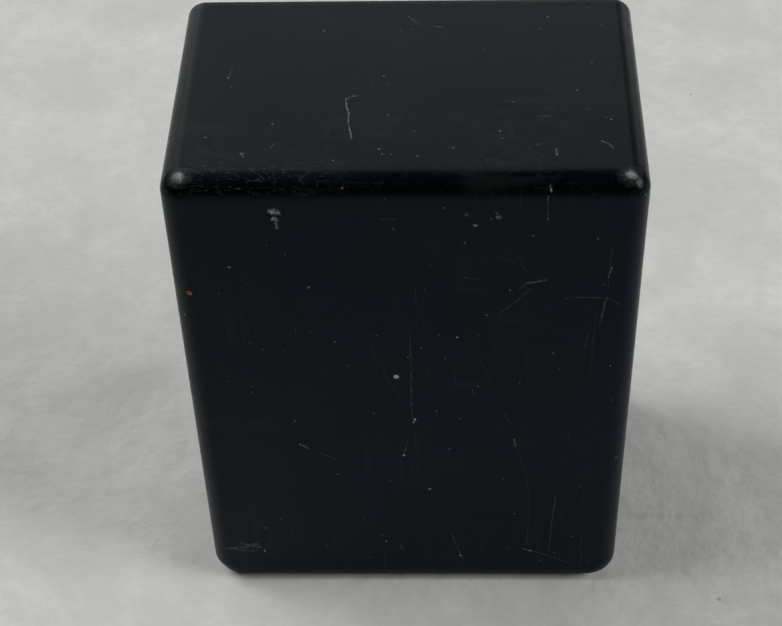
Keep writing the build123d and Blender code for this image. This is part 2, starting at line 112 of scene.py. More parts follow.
class Shader(Nodes):
    """A principled material, its patterns placed in the object's own metres."""

    def __init__(self, name, colour, roughness, specular=0.5, metallic=0.0):
        self.material = bpy.data.materials.new(name)
        self.material.use_nodes = True
        super().__init__(self.material.node_tree)
        self.bsdf = self.tree.nodes["Principled BSDF"]
        self.set("Base Color", (*colour, 1.0))
        self.set("Roughness", roughness)
        self.set("Specular IOR Level", specular)
        self.set("Metallic", metallic)
        self.point = self.node("ShaderNodeTexCoord").outputs["Object"]

    def set(self, name, value):
        self.plug(self.bsdf.inputs[name], value)

    def times(self, a, b):
        return self.math("MULTIPLY", a, b)

    def plus(self, a, b):
        return self.math("ADD", a, b)

    def split(self, vector):
        """The vector's x, y and z."""
        return self.node("ShaderNodeSeparateXYZ", {0: vector}).outputs

    def noise(self, scale, detail=3.0, stretch=(1, 1, 1), distortion=0.0, colour=False, turn=(0, 0, 0)):
        """Noise with a feature size of about 1 / scale metres."""
        place = self.node("ShaderNodeMapping", {"Vector": self.point, "Scale": stretch, "Rotation": turn})
        shape = {"Vector": place.outputs[0], "Scale": scale, "Detail": detail, "Distortion": distortion}
        return self.node("ShaderNodeTexNoise", shape).outputs["Color" if colour else "Fac"]

    def cells(self, scale):
        """Distance from the nearest of points strewn about 1 / scale metres apart."""
        return self.node("ShaderNodeTexVoronoi", {"Vector": self.point, "Scale": scale}).outputs["Distance"]

    def beside(self, value, line, far, near=0.0):
        """1 where the value is within near of line, and 0 beyond far."""
        return self.ramp(self.math("ABSOLUTE", self.math("SUBTRACT", value, line)), far, near)

    def patches(self, scale, detail, low, high, out_low=0.0, out_high=1.0):
        """Ragged patches of noise, with a smooth step from low to high at their borders."""
        return self.ramp(self.noise(scale, detail), low, high, out_low, out_high)

    def specks(self, scale, edge, core, *where):
        """Round specks that fade from core to edge, in the patches that where gives."""
        return self.times(self.ramp(self.cells(scale), edge, core), self.patches(*where))

    def hairlines(self, scale, stretch, turn=(0, 0, 0), fineness=0.025):
        """Long thin lines, where stretched noise passes its middle value."""
        wave = self.noise(scale, 1.0, stretch, 0.0, turn=turn)
        return self.beside(wave, 0.5, fineness)

    def mix(self, factor, a, b):
        ends = (v if isinstance(v, bpy.types.NodeSocket) else (*v, 1.0) for v in (a, b))
        inputs = dict(zip((0, 6, 7), (factor, *ends)))  # the factor and the two colours
        return self.node("ShaderNodeMix", inputs, data_type="RGBA").outputs[2]

    def line_mark(self, group, point, start, along, width, strength):
        shape = {"Point": point, "Start": start, "Along": along, "Width": width, "Strength": strength}
        return self.node("ShaderNodeGroup", shape, node_tree=group).outputs[0]

    def bump(self, *layers):
        """Stacks (height, depth in metres) layers and plugs the result in as the normal."""
        normal = None
        for height, depth in layers:
            made = self.node("ShaderNodeBump", {"Height": height, "Distance": depth})
            if normal is not None:
                self.plug(made.inputs["Normal"], normal)
            normal = made.outputs[0]
        self.set("Normal", normal)


def line_mark_group():
    """Node group: Strength on the line from Start to Start + Along, fading to 0 at Width from it."""
    group = bpy.data.node_groups.new("line_mark", "ShaderNodeTree")
    for name in ("Point", "Start", "Along", "Width", "Strength"):
        kind = "Float" if name in ("Width", "Strength") else "Vector"
        group.interface.new_socket(name, in_out="INPUT", socket_type=f"NodeSocket{kind}")
    group.interface.new_socket("Mark", in_out="OUTPUT", socket_type="NodeSocketFloat")
    t = Nodes(group)
    given, sink = t.node("NodeGroupInput").outputs, t.node("NodeGroupOutput")
    # Cycles keeps a node's result until its last user is done, in the order of making, so each
    # node is made after those that feed it. Clamps inside the nodes would cost room too.
    offset = t.vector("SUBTRACT", given["Point"], given["Start"])
    reach = t.vector("DOT_PRODUCT", offset, given["Along"])
    whole = t.vector("DOT_PRODUCT", given["Along"], given["Along"])
    share = t.node("ShaderNodeClamp", {"Value": t.math("DIVIDE", reach, whole)})
    nearest = t.vector("SCALE", given["Along"], share.outputs[0])
    away = t.vector("LENGTH", t.vector("SUBTRACT", offset, nearest))
    t.plug(sink.inputs["Mark"], t.ramp(away, 0.0, given["Width"], given["Strength"], 0.0))
    return group


# ---- wear on the case

# Scratches on the plain face: x and z of each bend in mm, half width in mm, paleness.
FACE_SCRATCHES = [
    ([(0.4, 67.9), (0.4, 56.7), (0.3, 49.6), (0.7, 45.0)], 0.14, 0.085),
    ([(0.7, 45.0), (0.9, 37.3), (1.2, 33.2)], 0.12, 0.035),
    ([(0.6, 45.5), (1.0, 46.5)], 0.22, 0.60),
    ([(-0.5, 40.5), (-0.9, 38.5), (-1.2, 36.6)], 0.16, 0.07),
    ([(-1.1, 37.0), (-1.3, 36.5)], 0.22, 0.55),
    ([(-6.2, 64.9), (-3.7, 56.7), (-1.3, 51.1)], 0.14, 0.030),
    ([(-19.5, 39.7), (-18.0, 38.5)], 0.16, 0.22),
    ([(-16.3, 37.5), (-13.6, 35.7)], 0.16, 0.07),
    ([(22.5, 99.1), (22.0, 97.0), (22.2, 92.7)], 0.13, 0.10),
    ([(22.3, 98.8), (22.6, 98.1)], 0.20, 0.22),
    ([(32.6, 82.3), (32.2, 80.2)], 0.22, 0.12),
    ([(32.2, 75.7), (31.8, 72.6), (31.3, 69.4)], 0.20, 0.085),
    ([(32.5, 86.3), (32.3, 77.2)], 0.12, 0.045),
    ([(29.6, 67.5), (29.4, 64.2)], 0.14, 0.08),
    ([(30.6, 72.1), (30.6, 56.7)], 0.12, 0.030),
    ([(25.4, 75.6), (29.0, 75.8), (32.6, 75.5), (34.3, 74.1)], 0.16, 0.055),
    ([(9.3, 80.3), (11.5, 79.8)], 0.14, 0.10),
    ([(20.0, 77.8), (17.6, 74.9), (14.9, 71.8)], 0.16, 0.050),
    ([(19.0, 78.9), (22.2, 79.7)], 0.36, 0.075),
    ([(18.2, 77.8), (19.6, 79.4)], 0.20, 0.07),
    ([(11.9, 84.5), (14.9, 84.6), (18.3, 83.1), (19.6, 80.8)], 0.14, 0.038),
    ([(14.4, 85.9), (17.7, 84.9), (19.4, 82.6)], 0.12, 0.030),
    ([(10.5, 65.9), (12.5, 59.8), (13.9, 55.7)], 0.12, 0.032),
    ([(10.7, 53.7), (11.2, 52.2)], 0.16, 0.12),
    ([(3.5, 89.4), (4.5, 85.3), (3.7, 81.7)], 0.11, 0.030),
    ([(1.3, 78.7), (1.7, 72.0), (1.5, 69.0)], 0.11, 0.032),
    ([(16.3, 47.5), (17.4, 44.9)], 0.13, 0.055),
    ([(18.1, 41.0), (18.4, 39.1)], 0.26, 0.20),
    ([(18.8, 37.5), (20.5, 31.2), (21.2, 25.1), (21.4, 18.9), (21.0, 10.7)], 0.12, 0.050),
    ([(26.0, 25.4), (25.6, 18.9), (25.3, 9.1)], 0.13, 0.085),
    ([(20.4, 9.9), (22.1, 9.2)], 0.20, 0.30),
    ([(22.1, 9.2), (24.6, 8.2), (29.3, 5.5)], 0.14, 0.085),
    ([(7.2, 14.3), (8.9, 8.0), (9.5, 6.0)], 0.13, 0.075),
    ([(8.7, 8.0), (9.0, 7.5)], 0.20, 0.40),
    ([(13.2, 15.3), (12.6, 8.5)], 0.14, 0.035),
    ([(-2.4, 11.7), (-2.0, 9.1)], 0.20, 0.08),
    ([(-16.6, 11.8), (-15.9, 9.8)], 0.16, 0.09),
    ([(-5.4, 8.0), (-5.4, 4.1)], 0.14, 0.040),
    ([(31.1, 13.4), (31.5, 6.0)], 0.15, 0.045),
    ([(29.0, 20.3), (28.3, 16.9)], 0.13, 0.040),
    ([(-18.3, 69.6), (-18.6, 67.8)], 0.15, 0.07),
    ([(-34.4, 9.8), (-31.3, 10.3), (-29.3, 11.3)], 0.55, 0.075),
    ([(-32.0, 11.3), (-28.9, 10.3)], 0.70, 0.055),
    ([(-33.4, 9.4), (-29.9, 9.2)], 0.50, 0.040),
    ([(-26.6, 80.2), (-25.3, 78.7)], 0.16, 0.035),
    ([(-1.4, 92.9), (-3.8, 92.9)], 0.22, 0.045),
]
# Scratches on the top: x and y of each bend in mm, half width in mm, paleness.
TOP_SCRATCHES = [
    ([(-7.4, -2.1), (-8.8, -2.5), (-9.6, -3.0)], 0.18, 0.13),
    ([(-9.6, -3.0), (-9.4, -4.8), (-9.0, -6.8)], 0.20, 0.19),
    ([(-9.0, -6.8), (-9.0, -9.2), (-8.3, -12.7)], 0.17, 0.15),
    ([(-8.5, -11.5), (-8.4, -13.1)], 0.22, 0.07),
    ([(-0.0, 19.3), (1.9, 16.8)], 0.17, 0.11),
    ([(4.5, 16.4), (5.8, 16.0)], 0.20, 0.08),
    ([(-28.9, 2.6), (-28.6, 5.8)], 0.13, 0.07),
    ([(23.5, -15.8), (23.6, -17.2)], 0.22, 0.13),
    ([(30.6, -13.8), (31.6, -14.6), (32.4, -15.6)], 0.17, 0.11),
    ([(20.4, -14.8), (21.6, -14.2)], 0.18, 0.07),
    ([(21.2, -7.8), (22.9, -7.6)], 0.15, 0.06),
    ([(-25.6, -16.3), (-24.9, -17.4)], 0.20, 0.10),
    ([(-20.9, -15.1), (-20.3, -14.1)], 0.18, 0.07),
]
# Spots on the plain face: x and z in mm, radius in mm, paleness.
FACE_SPOTS = [
    (8.2, 66.6, 0.32, 0.75), (24.1, 62.9, 0.26, 0.45), (2.2, 64.0, 0.22, 0.40),
    (-0.1, 61.9, 0.22, 0.35), (9.3, 87.8, 0.26, 0.60), (11.0, 91.5, 0.42, 0.42),
    (9.6, 93.8, 0.60, 0.13), (14.6, 93.1, 0.62, 0.24), (14.2, 94.0, 0.34, 0.20),
    (3.2, 27.4, 0.36, 0.40), (-5.0, 12.1, 0.30, 0.55), (-5.7, 13.8, 0.26, 0.30),
    (-28.0, 9.1, 0.26, 0.55), (-27.2, 16.0, 0.24, 0.35), (-8.2, 7.1, 0.22, 0.30),
    (9.3, 9.9, 0.24, 0.28), (17.5, 10.1, 0.26, 0.28), (18.7, 20.3, 0.28, 0.20),
    (-26.8, 54.7, 0.22, 0.25), (-12.0, 65.6, 0.22, 0.30), (-14.8, 66.7, 0.20, 0.22),
    (-16.0, 68.0, 0.22, 0.22), (-26.2, 65.3, 0.40, 0.13), (-19.0, 85.3, 0.24, 0.20),
    (-28.1, 82.7, 0.34, 0.12), (-15.7, 78.2, 0.28, 0.30), (2.9, 77.9, 0.24, 0.22),
    (-3.0, 96.9, 0.22, 0.30), (-30.3, 76.9, 0.20, 0.25), (33.7, 59.7, 0.24, 0.28),
    (25.2, 58.9, 0.26, 0.16), (18.7, 55.6, 0.26, 0.18), (22.2, 92.7, 0.26, 0.24),
    (-20.8, 63.4, 0.26, 0.14), (-10.2, 59.8, 0.28, 0.12), (6.1, 61.6, 0.34, 0.08),
    (-6.2, 47.8, 0.26, 0.16), (-19.9, 45.9, 0.20, 0.25), (27.5, 42.2, 0.36, 0.09),
    (30.7, 31.3, 0.26, 0.20), (23.1, 27.7, 0.24, 0.16), (17.0, 27.1, 0.26, 0.14),
    (29.4, 13.6, 0.40, 0.10), (34.5, 51.2, 0.22, 0.18), (-36.5, 71.4, 0.26, 0.60),
    (12.9, 71.8, 0.20, 0.25), (11.7, 67.0, 0.24, 0.22), (23.3, 70.1, 0.22, 0.22),
    (-21.1, 75.7, 0.20, 0.12), (31.5, 78.6, 0.30, 0.14), (-8.9, 18.9, 0.22, 0.22),
    (-0.0, 33.2, 0.22, 0.18),
]
TOP_SPOTS = [
    (-29.0, 2.7, 0.26, 0.20), (-28.4, 0.3, 0.20, 0.14), (-16.0, 7.0, 0.24, 0.10),
    (-5.6, 1.0, 0.24, 0.12), (-2.8, 0.9, 0.24, 0.09), (-2.8, -7.2, 0.22, 0.11), (12.7, 9.7, 0.26, 0.10),
    (32.4, 16.2, 0.24, 0.16), (29.0, -6.0, 0.26, 0.16), (12.3, -5.9, 0.22, 0.12),
    (25.2, -3.6, 0.22, 0.10), (22.0, 15.4, 0.22, 0.10), (32.4, -8.7, 0.26, 0.13),
    (31.6, -8.1, 0.24, 0.10), (-10.2, -5.4, 0.24, 0.10), (0.9, 15.4, 0.24, 0.10),
    (-1.1, 15.3, 0.22, 0.08), (1.4, -11.3, 0.24, 0.09), (17.1, -4.0, 0.22, 0.10),
    (10.9, -16.4, 0.24, 0.10), (-3.4, -16.8, 0.26, 0.12), (2.1, -17.3, 0.24, 0.11),
    (-2.0, -16.9, 0.22, 0.11), (-25.1, -16.4, 0.40, 0.12), (32.6, 0.6, 0.20, 0.10),
    (16.9, -11.2, 0.30, 0.07), (12.9, -18.3, 0.22, 0.14), (-11.0, -18.3, 0.24, 0.14),
]

case_lo, case_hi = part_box("case_shell")
FACE_Y, TOP_Z = case_lo.y, case_hi.z
HALF_W, HALF_H = case_hi.x, case_hi.z / 2
EDGE_R, FOOT_R = 3.5 * MM, 5.3 * MM  # most outer edges, and the two lower long ones
WALL, LAP, RIM_R, PANEL_T = 3.0 * MM, 1.5 * MM, 0.4 * MM, 2.0 * MM
SEAT_R, CAVITY_R = 3.8 * MM, 2.3 * MM  # corners of the panel's recess and of the cavity
ARC_STEPS = 12  # on each rounding
FACE_STEP = 1.1 * MM  # between the face's points where it is plain
SPOT_LENGTH = 0.02  # in mm, since a spot is a very short line
# Craters in the plain face: centre in mm, radius in mm, depth in mm.
CHIP = [((-20.1, 94.3), 0.95, 0.30), ((-20.1, 92.7), 0.62, 0.22), ((-20.0, 91.6), 0.36, 0.10)]
CHIP_MARKS = [
    ([(-20.5, 94.5), (-19.7, 94.2)], 0.80, 0.55),
    ([(-20.1, 94.3), (-19.9, 94.1)], 0.45, 0.85),
    ([(-20.3, 93.0), (-20.0, 92.7)], 0.60, 0.42),
    ([(-20.1, 92.8), (-20.0, 92.5)], 0.32, 0.75),
    ([(-20.1, 92.1), (-19.9, 91.2)], 0.30, 0.22),
]
# A ring of dried resin: centre in mm, radius in mm, half width in mm, height in mm.
BEAD = ((-2.1, 57.1), 0.36, 0.26, 0.05)
# Coloured flecks: place, radius in mm, colour.
FACE_FLECKS = [
    ((-35.2, 77.0), 0.62, (0.26, 0.060, 0.040)),
    ((-34.9, 76.7), 0.30, (0.45, 0.16, 0.10)),
    ((-2.1, 57.1), 0.58, (0.52, 0.51, 0.42)),
    ((-2.1, 57.1), 0.24, (0.20, 0.20, 0.17)),
    ((-28.1, 82.7), 0.30, (0.16, 0.13, 0.06)),
    ((-9.4, 98.7), 0.22, (0.12, 0.07, 0.05)),
]


def on_rounding(*beyond):
    """How far the outer skin drops from its flat, at these distances past where its roundings start."""
    reach = math.hypot(*(max(0.0, b) for b in beyond))
    return EDGE_R - math.sqrt(max(0.0, EDGE_R**2 - reach**2))


def face_point(x, z):
    """The point of the outer skin in front of x and z, which are in mm."""
    x, z = x * MM, z * MM
    drop = on_rounding(abs(x) - HALF_W + EDGE_R, abs(z - HALF_H) - HALF_H + EDGE_R)
    return Vector((x, FACE_Y + drop, z))


def top_point(x, y):
    """The point of the outer skin above x and y, which are in mm."""
    x, y = x * MM, y * MM
    drop = on_rounding(abs(x) - HALF_W + EDGE_R, FACE_Y + EDGE_R - y)
    return Vector((x, y, TOP_Z - drop))


# Two colours that each part of the case drifts between. The plain face's pair is painted shade, darker than
# the sides', and the top's pair is painted light, paler than the sides'.
FACE_SHADED_TINTS = (0.0001, 0.0022, 0.0094), (0.0002, 0.0036, 0.0060)
LID_LIT_TINTS = (0.0021, 0.0044, 0.0068), (0.0029, 0.0054, 0.0054)
SIDE_TINTS = (0.0016, 0.0034, 0.0058), (0.0022, 0.0040, 0.0052)
EDGE_SHADE_TINT = (0.0002, 0.0010, 0.0013)  # painted shade: near black on the rounding between the face and the top


def case_material(name, group, tints, scratches=(), spots=(), place=None, flecks=()):
    """Black phenolic: satin, bluish in its depth, with hairlines, scuffs, dust and the given marks, painted
    shade on the rounding above the plain face, painted highlights over scuffing at that face's two upper
    corners, and tints that are painted shade on the plain face and painted light on the top.
    """
    s = Shader(name, (0.0004, 0.0030, 0.0080), 0.27, 0.11)
    s.set("Specular Tint", (0.80, 0.96, 1.0, 1.0))  # its reflections are slightly cool
    wobble = s.node("ShaderNodeTexNoise", {"Vector": s.point, "Scale": 800.0, "Detail": 3.0})
    reach = {0: wobble.outputs["Color"], 1: (0.34 * MM,) * 3, 2: (-0.17 * MM,) * 3}
    shift = s.node("ShaderNodeVectorMath", reach, operation="MULTIPLY_ADD")
    near = s.vector("ADD", s.point, shift.outputs[0])

    def marks():
        total = None
        lines = [
            (place(*a), place(*b), width, strength)
            for bends, width, strength in scratches
            for a, b in zip(bends, bends[1:])
        ]
        lines += [(place(x, v), place(x + SPOT_LENGTH, v), r, k) for x, v, r, k in spots]
        for start, end, width, strength in lines:
            mark = s.line_mark(group, near, start, end - start, width * MM, strength)
            total = mark if total is None else s.math("MAXIMUM", total, mark)
        return total

    drawn = 0.0
    if scratches:
        broken = s.patches(3100.0, 3.0, 0.40, 0.60, 0.12, 1.15)
        drawn = s.times(marks(), broken)

    patches = s.patches(55.0, 3.0, 0.50, 0.66)
    upright = s.hairlines(260.0, (1.0, 1.0, 0.035), (0.0, 0.05, 0.0))
    hair = upright
    if place is not None:  # on the sides, hairlines in more than one direction would look like a pattern
        leaning = s.hairlines(240.0, (0.9, 1.0, 0.05), (0.0, 0.62, 0.0), 0.02)
        across = s.hairlines(250.0, (0.05, 0.9, 1.0), (0.0, 0.16, 0.2), 0.02)
        hair = s.math("MAXIMUM", s.math("MAXIMUM", upright, leaning), across)
    hair = s.times(hair, patches)
    dust = s.specks(640.0, 0.075, 0.03, 90.0, 1.0, 0.50, 0.62)
    coarse_dust = s.ramp(s.cells(230.0), 0.055, 0.03)
    # Scuffs on the rounding above the plain face, with painted highlights over scuffing at its two upper
    # corners; below, they pale the colour and roughen it.
    worn = scuffs_and_corner_highlights(s)
    haze = s.ramp(s.noise(70.0, 4.0, (1, 1, 1), 0.6), 0.48, 0.72)

    # The part's own pair of tints: painted shade on the plain face, painted light on the top.
    tint = s.mix(s.patches(38.0, 3.0, 0.40, 0.62), *tints)
    # Painted shade: the rounding between the plain face and the top is darkened to the near-black edge tint
    # about its middle line.
    across_edge = s.vector("MULTIPLY", s.point, (0.0, 1.0, 1.0))
    inset = 0.29 * EDGE_R  # of the rounding's middle line
    middle = (0.0, FACE_Y + inset, TOP_Z - inset)
    from_edge = s.vector("DISTANCE", across_edge, middle)
    tint = s.mix(s.ramp(from_edge, 1.3 * MM, 2.9 * MM), EDGE_SHADE_TINT, tint)
    pale = s.times(hair, 0.0045)
    pale = s.plus(pale, s.times(dust, 0.060))
    pale = s.plus(pale, s.times(coarse_dust, 0.08))
    # Scuffs, and painted highlights at the plain face's two upper corners.
    pale = s.plus(pale, s.times(worn, 0.16))
    pale = s.math("ADD", pale, drawn, clamp=True)
    colour = s.mix(pale, tint, (1.0, 1.03, 1.04))
    for (x, z), radius, hue in flecks:
        away = s.vector("DISTANCE", near, place(x, z))
        colour = s.mix(s.ramp(away, radius * MM, 0.45 * radius * MM), colour, hue)
    s.set("Base Color", colour)

    rough = s.math("MULTIPLY_ADD", s.noise(420.0, 4.0), 0.10)
    rough.node.inputs[2].default_value = 0.22
    rough = s.plus(rough, s.times(haze, 0.07))
    rough = s.plus(rough, s.times(worn, 0.35))
    rough = s.plus(rough, s.ramp(s.split(s.point)["Z"], 4.2 * MM, 1.2 * MM, 0.0, 0.38))
    rough = s.math("ADD", rough, s.times(drawn, 0.5), clamp=True)
    s.set("Roughness", rough)
    s.bump((s.noise(2700.0, 3.0), 0.000011), (s.noise(620.0, 2.0), 0.000012), (hair, -0.000004))
    return s.material


def near_corner_patch(s):
    """The point, pushed about a little so that the painted highlight and scuffing at a corner have a ragged
    outline.
    """
    push = s.vector("MULTIPLY", s.noise(600.0, 2.0, colour=True), (0.0012,) * 3)
    return s.vector("SUBTRACT", s.vector("ADD", s.point, push), (0.0006,) * 3)


def scuffs_and_corner_highlights(s):
    """Scuffing on the rounding above the plain face, and at its two upper corners a painted highlight over
    scuffing: pale patches where the lamps' reflections fall.
    """
    x, y, z = s.split(s.point)
    low = s.ramp(z, TOP_Z - 3.2 * MM, TOP_Z - 1.4 * MM)
    front = s.ramp(y, FACE_Y + 8.0 * MM, FACE_Y + 3.4 * MM)
    left = s.ramp(x, 4.0 * MM, -26.0 * MM, 0.12, 1.0)
    ridge = s.times(s.times(low, front), left)
    fine = s.hairlines(760.0, (0.22, 1.0, 1.0), (0.5, 0.2, 0.6), 0.022)
    finer = s.hairlines(900.0, (0.25, 0.9, 0.9), (0.3, 0.9, -0.5), 0.022)
    tangle = s.times(s.math("MAXIMUM", fine, finer), s.patches(2300.0, 2.0, 0.42, 0.60))
    grit = s.specks(1100.0, 0.18, 0.05, 420.0, 2.0, 0.50, 0.60)
    total = s.plus(s.times(tangle, 0.15), s.times(grit, 0.30))
    total = s.times(ridge, total)
    # Painted highlight at each upper corner of the plain face, partly scuffing: a broad pale patch and a
    # brighter core where the lamps' reflections fall.
    for side in (-1, 1):
        corner = Vector((side * (HALF_W - 3.3 * MM), FACE_Y + 2.4 * MM, TOP_Z - 0.2 * MM))
        away = s.vector("DISTANCE", near_corner_patch(s), corner)
        rub = s.times(s.ramp(away, 2.5 * MM, 0.3 * MM), s.patches(2600.0, 3.0, 0.40, 0.64, 0.25, 0.75))
        core = s.times(s.ramp(away, 1.15 * MM, 0.25 * MM), s.patches(3600.0, 2.0, 0.34, 0.60, 0.5, 1.5))
        total = s.plus(total, s.plus(s.times(rub, 0.36), s.times(core, 0.85)))
    return total


# ---- mesh helpers


def place_object(name, data):
    made = bpy.data.objects.new(name, data)
    bpy.context.scene.collection.objects.link(made)
    return made


def new_object(name, verts, faces, material, smooth_angle=32.0):
    mesh = bpy.data.meshes.new(name)
    mesh.from_pydata([tuple(v) for v in verts], [], faces)
    mesh.materials.append(material)
    made = place_object(name, mesh)
    tidy_mesh(mesh, smooth_angle)
    return made


def tidy_mesh(mesh, smooth_angle=32.0):
    """Welds doubles, turns the faces outward and smooths all but the sharp edges."""
    work = bmesh.new()
    work.from_mesh(mesh)
    bmesh.ops.remove_doubles(work, verts=work.verts, dist=2e-6)
    bmesh.ops.recalc_face_normals(work, faces=work.faces)
    work.to_mesh(mesh)
    work.free()
    mesh.shade_smooth()
    mesh.set_sharp_from_angle(angle=math.radians(smooth_angle))


def ring_faces(rings, sides, closed=False):
    """Quads between rings of that many points; closed also joins the last ring to the first."""
    faces = []
    for i in range(rings if closed else rings - 1):
        j = (i + 1) % rings
        for k in range(sides):
            n = (k + 1) % sides
            faces.append((i * sides + k, i * sides + n, j * sides + n, j * sides + k))
    return faces


def grid_faces(rows, columns, base=0):
    """Quads of a grid of points, the first of which has the number base."""
    corners = [base + a * columns + b for a in range(rows - 1) for b in range(columns - 1)]
    return [(c, c + 1, c + 1 + columns, c + columns) for c in corners]


def steps(low, high, size):
    """Even steps from low to high, of about that size."""
    return list(np.linspace(low, high, max(2, round((high - low) / size) + 1)))


def with_fine(lines, low, high, size):
    """The same lines with closer ones between low and high."""
    kept = [v for v in lines if v < low - size or v > high + size]
    return sorted(kept + steps(low, high, size))


def loop_points(inset, y, radii, xs, zs):
    """One ring of the case at depth y, inset from its outline.

    Its sides have points at xs and zs, its corners have arcs, and radii are those of the upper and
    the lower corners.
    """
    wide, high = HALF_W - inset, HALF_H - inset
    points = []
    for k, (sx, sz) in enumerate(((1, 1), (-1, 1), (-1, -1), (1, -1))):
        radius = radii[0] if sz > 0 else radii[1]
        for i in range(ARC_STEPS + 1):
            angle = math.pi / 2 * (k + i / ARC_STEPS)
            x = sx * (wide - radius) + radius * math.cos(angle)
            z = sz * (high - radius) + radius * math.sin(angle)
            points.append((x, y, z))
        run = (list(reversed(xs)), list(reversed(zs)), xs, zs)[k]
        for v in run:
            points.append(((v, y, high), (-wide, y, v), (v, y, -high), (wide, y, v))[k])
    return points


def case_rings():
    """Inset, depth and corner radii of each ring, from the edge of the face's flat to the cavity floor."""
    def outer(inset):
        return (max(0.0, EDGE_R - inset), max(0.0, FOOT_R - inset))

    rings = [(inset, FACE_Y, outer(inset)) for inset in steps(EDGE_R, FOOT_R, 0.2 * MM)[:0:-1]]
    for i in range(ARC_STEPS + 1):
        turn = math.pi / 2 * i / ARC_STEPS
        inset = EDGE_R * (1 - math.sin(turn))
        rings.append((inset, FACE_Y + EDGE_R * (1 - math.cos(turn)), outer(inset)))
    y_rim = case_hi.y
    rings += [(0.0, y, outer(0.0)) for y in steps(FACE_Y + EDGE_R, y_rim - RIM_R, 1.2 * MM)[1:]]
    for i in range(1, 5):
        turn = math.pi / 8 * i
        inset = RIM_R * (1 - math.cos(turn))
        rings.append((inset, y_rim - RIM_R + RIM_R * math.sin(turn), outer(inset)))
    y_ledge, y_floor, soft = y_rim - PANEL_T, FACE_Y + WALL, 0.6 * CAVITY_R
    edge = 0.12 * MM
    rings += [(LAP - edge, y_rim, (SEAT_R + edge,) * 2), (LAP, y_rim - edge, (SEAT_R,) * 2)]
    rings += [(LAP, y_ledge, (SEAT_R,) * 2), (WALL - 0.1 * MM, y_ledge, (CAVITY_R + 0.1 * MM,) * 2)]
    rings += [(WALL, y, (CAVITY_R,) * 2) for y in steps(y_floor + soft, y_ledge - 0.1 * MM, 8.0 * MM)[::-1]]
    for i in range(1, 5):
        turn = math.pi / 8 * i
        inset = soft * (1 - math.cos(turn))
        rings.append((WALL + inset, y_floor + soft * (1 - math.sin(turn)), (CAVITY_R - inset,) * 2))
    return rings


def build_case(material):
    """The moulded shell: outer skin, rim, ledge, cavity and insert bosses, with its waviness and chip."""
    flat_x, flat_z = HALF_W - FOOT_R, HALF_H - FOOT_R
    # Closer lines about the chip, and closer still about the resin ring.
    chip_step, bead_step = 0.16 * MM, 0.1 * MM
    xs = with_fine(steps(-flat_x, flat_x, FACE_STEP), -21.4 * MM, -18.4 * MM, chip_step)
    xs = with_fine(xs, -2.8 * MM, -1.2 * MM, bead_step)
    zs = with_fine(steps(-flat_z, flat_z, FACE_STEP), 90.4 * MM - HALF_H, flat_z, chip_step)
    zs = with_fine(zs, 56.6 * MM - HALF_H, 58.2 * MM - HALF_H, bead_step)
    rings = [loop_points(inset, y, radii, xs, zs) for inset, y, radii in case_rings()]
    count = len(rings[0])
    verts = [v for ring in rings for v in ring]
    faces = ring_faces(len(rings), count) + grid_faces(len(zs), len(xs), len(verts))
    verts += [(x, FACE_Y, z) for z in zs for x in xs]
    faces.append(tuple((len(rings) - 1) * count + i for i in range(count)))
    shell = new_object("case_moulding", [(x, y, z + HALF_H) for x, y, z in verts], faces, material, 35.0)
    for vert in shell.data.vertices:
        vert.co = dent(vert.co)
    for cutter, operation in ((case_bosses(material), "UNION"), (insert_holes(material), "DIFFERENCE")):
        modifier = shell.modifiers.new("solid", "BOOLEAN")
        modifier.object, modifier.operation, modifier.solver = cutter, operation, "EXACT"
        bpy.context.view_layer.update()
        graph = bpy.context.evaluated_depsgraph_get()
        mesh = bpy.data.meshes.new_from_object(shell.evaluated_get(graph))
        shell.modifiers.clear()
        shell.data = mesh
        bpy.data.objects.remove(cutter)
    shell.data.shade_smooth()
    shell.data.set_sharp_from_angle(angle=math.radians(35.0))
    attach(shell, "housing")
    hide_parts("case_shell")
    return shell


def core_of(p):
    """The point of the case's inner core, the box that the roundings are drawn about, nearest to p."""
    radius = EDGE_R if p.z > HALF_H else FOOT_R
    x = max(-HALF_W + radius, min(HALF_W - radius, p.x))
    z = max(radius, min(TOP_Z - radius, p.z))
    return Vector((x, max(FACE_Y + EDGE_R, p.y), z))


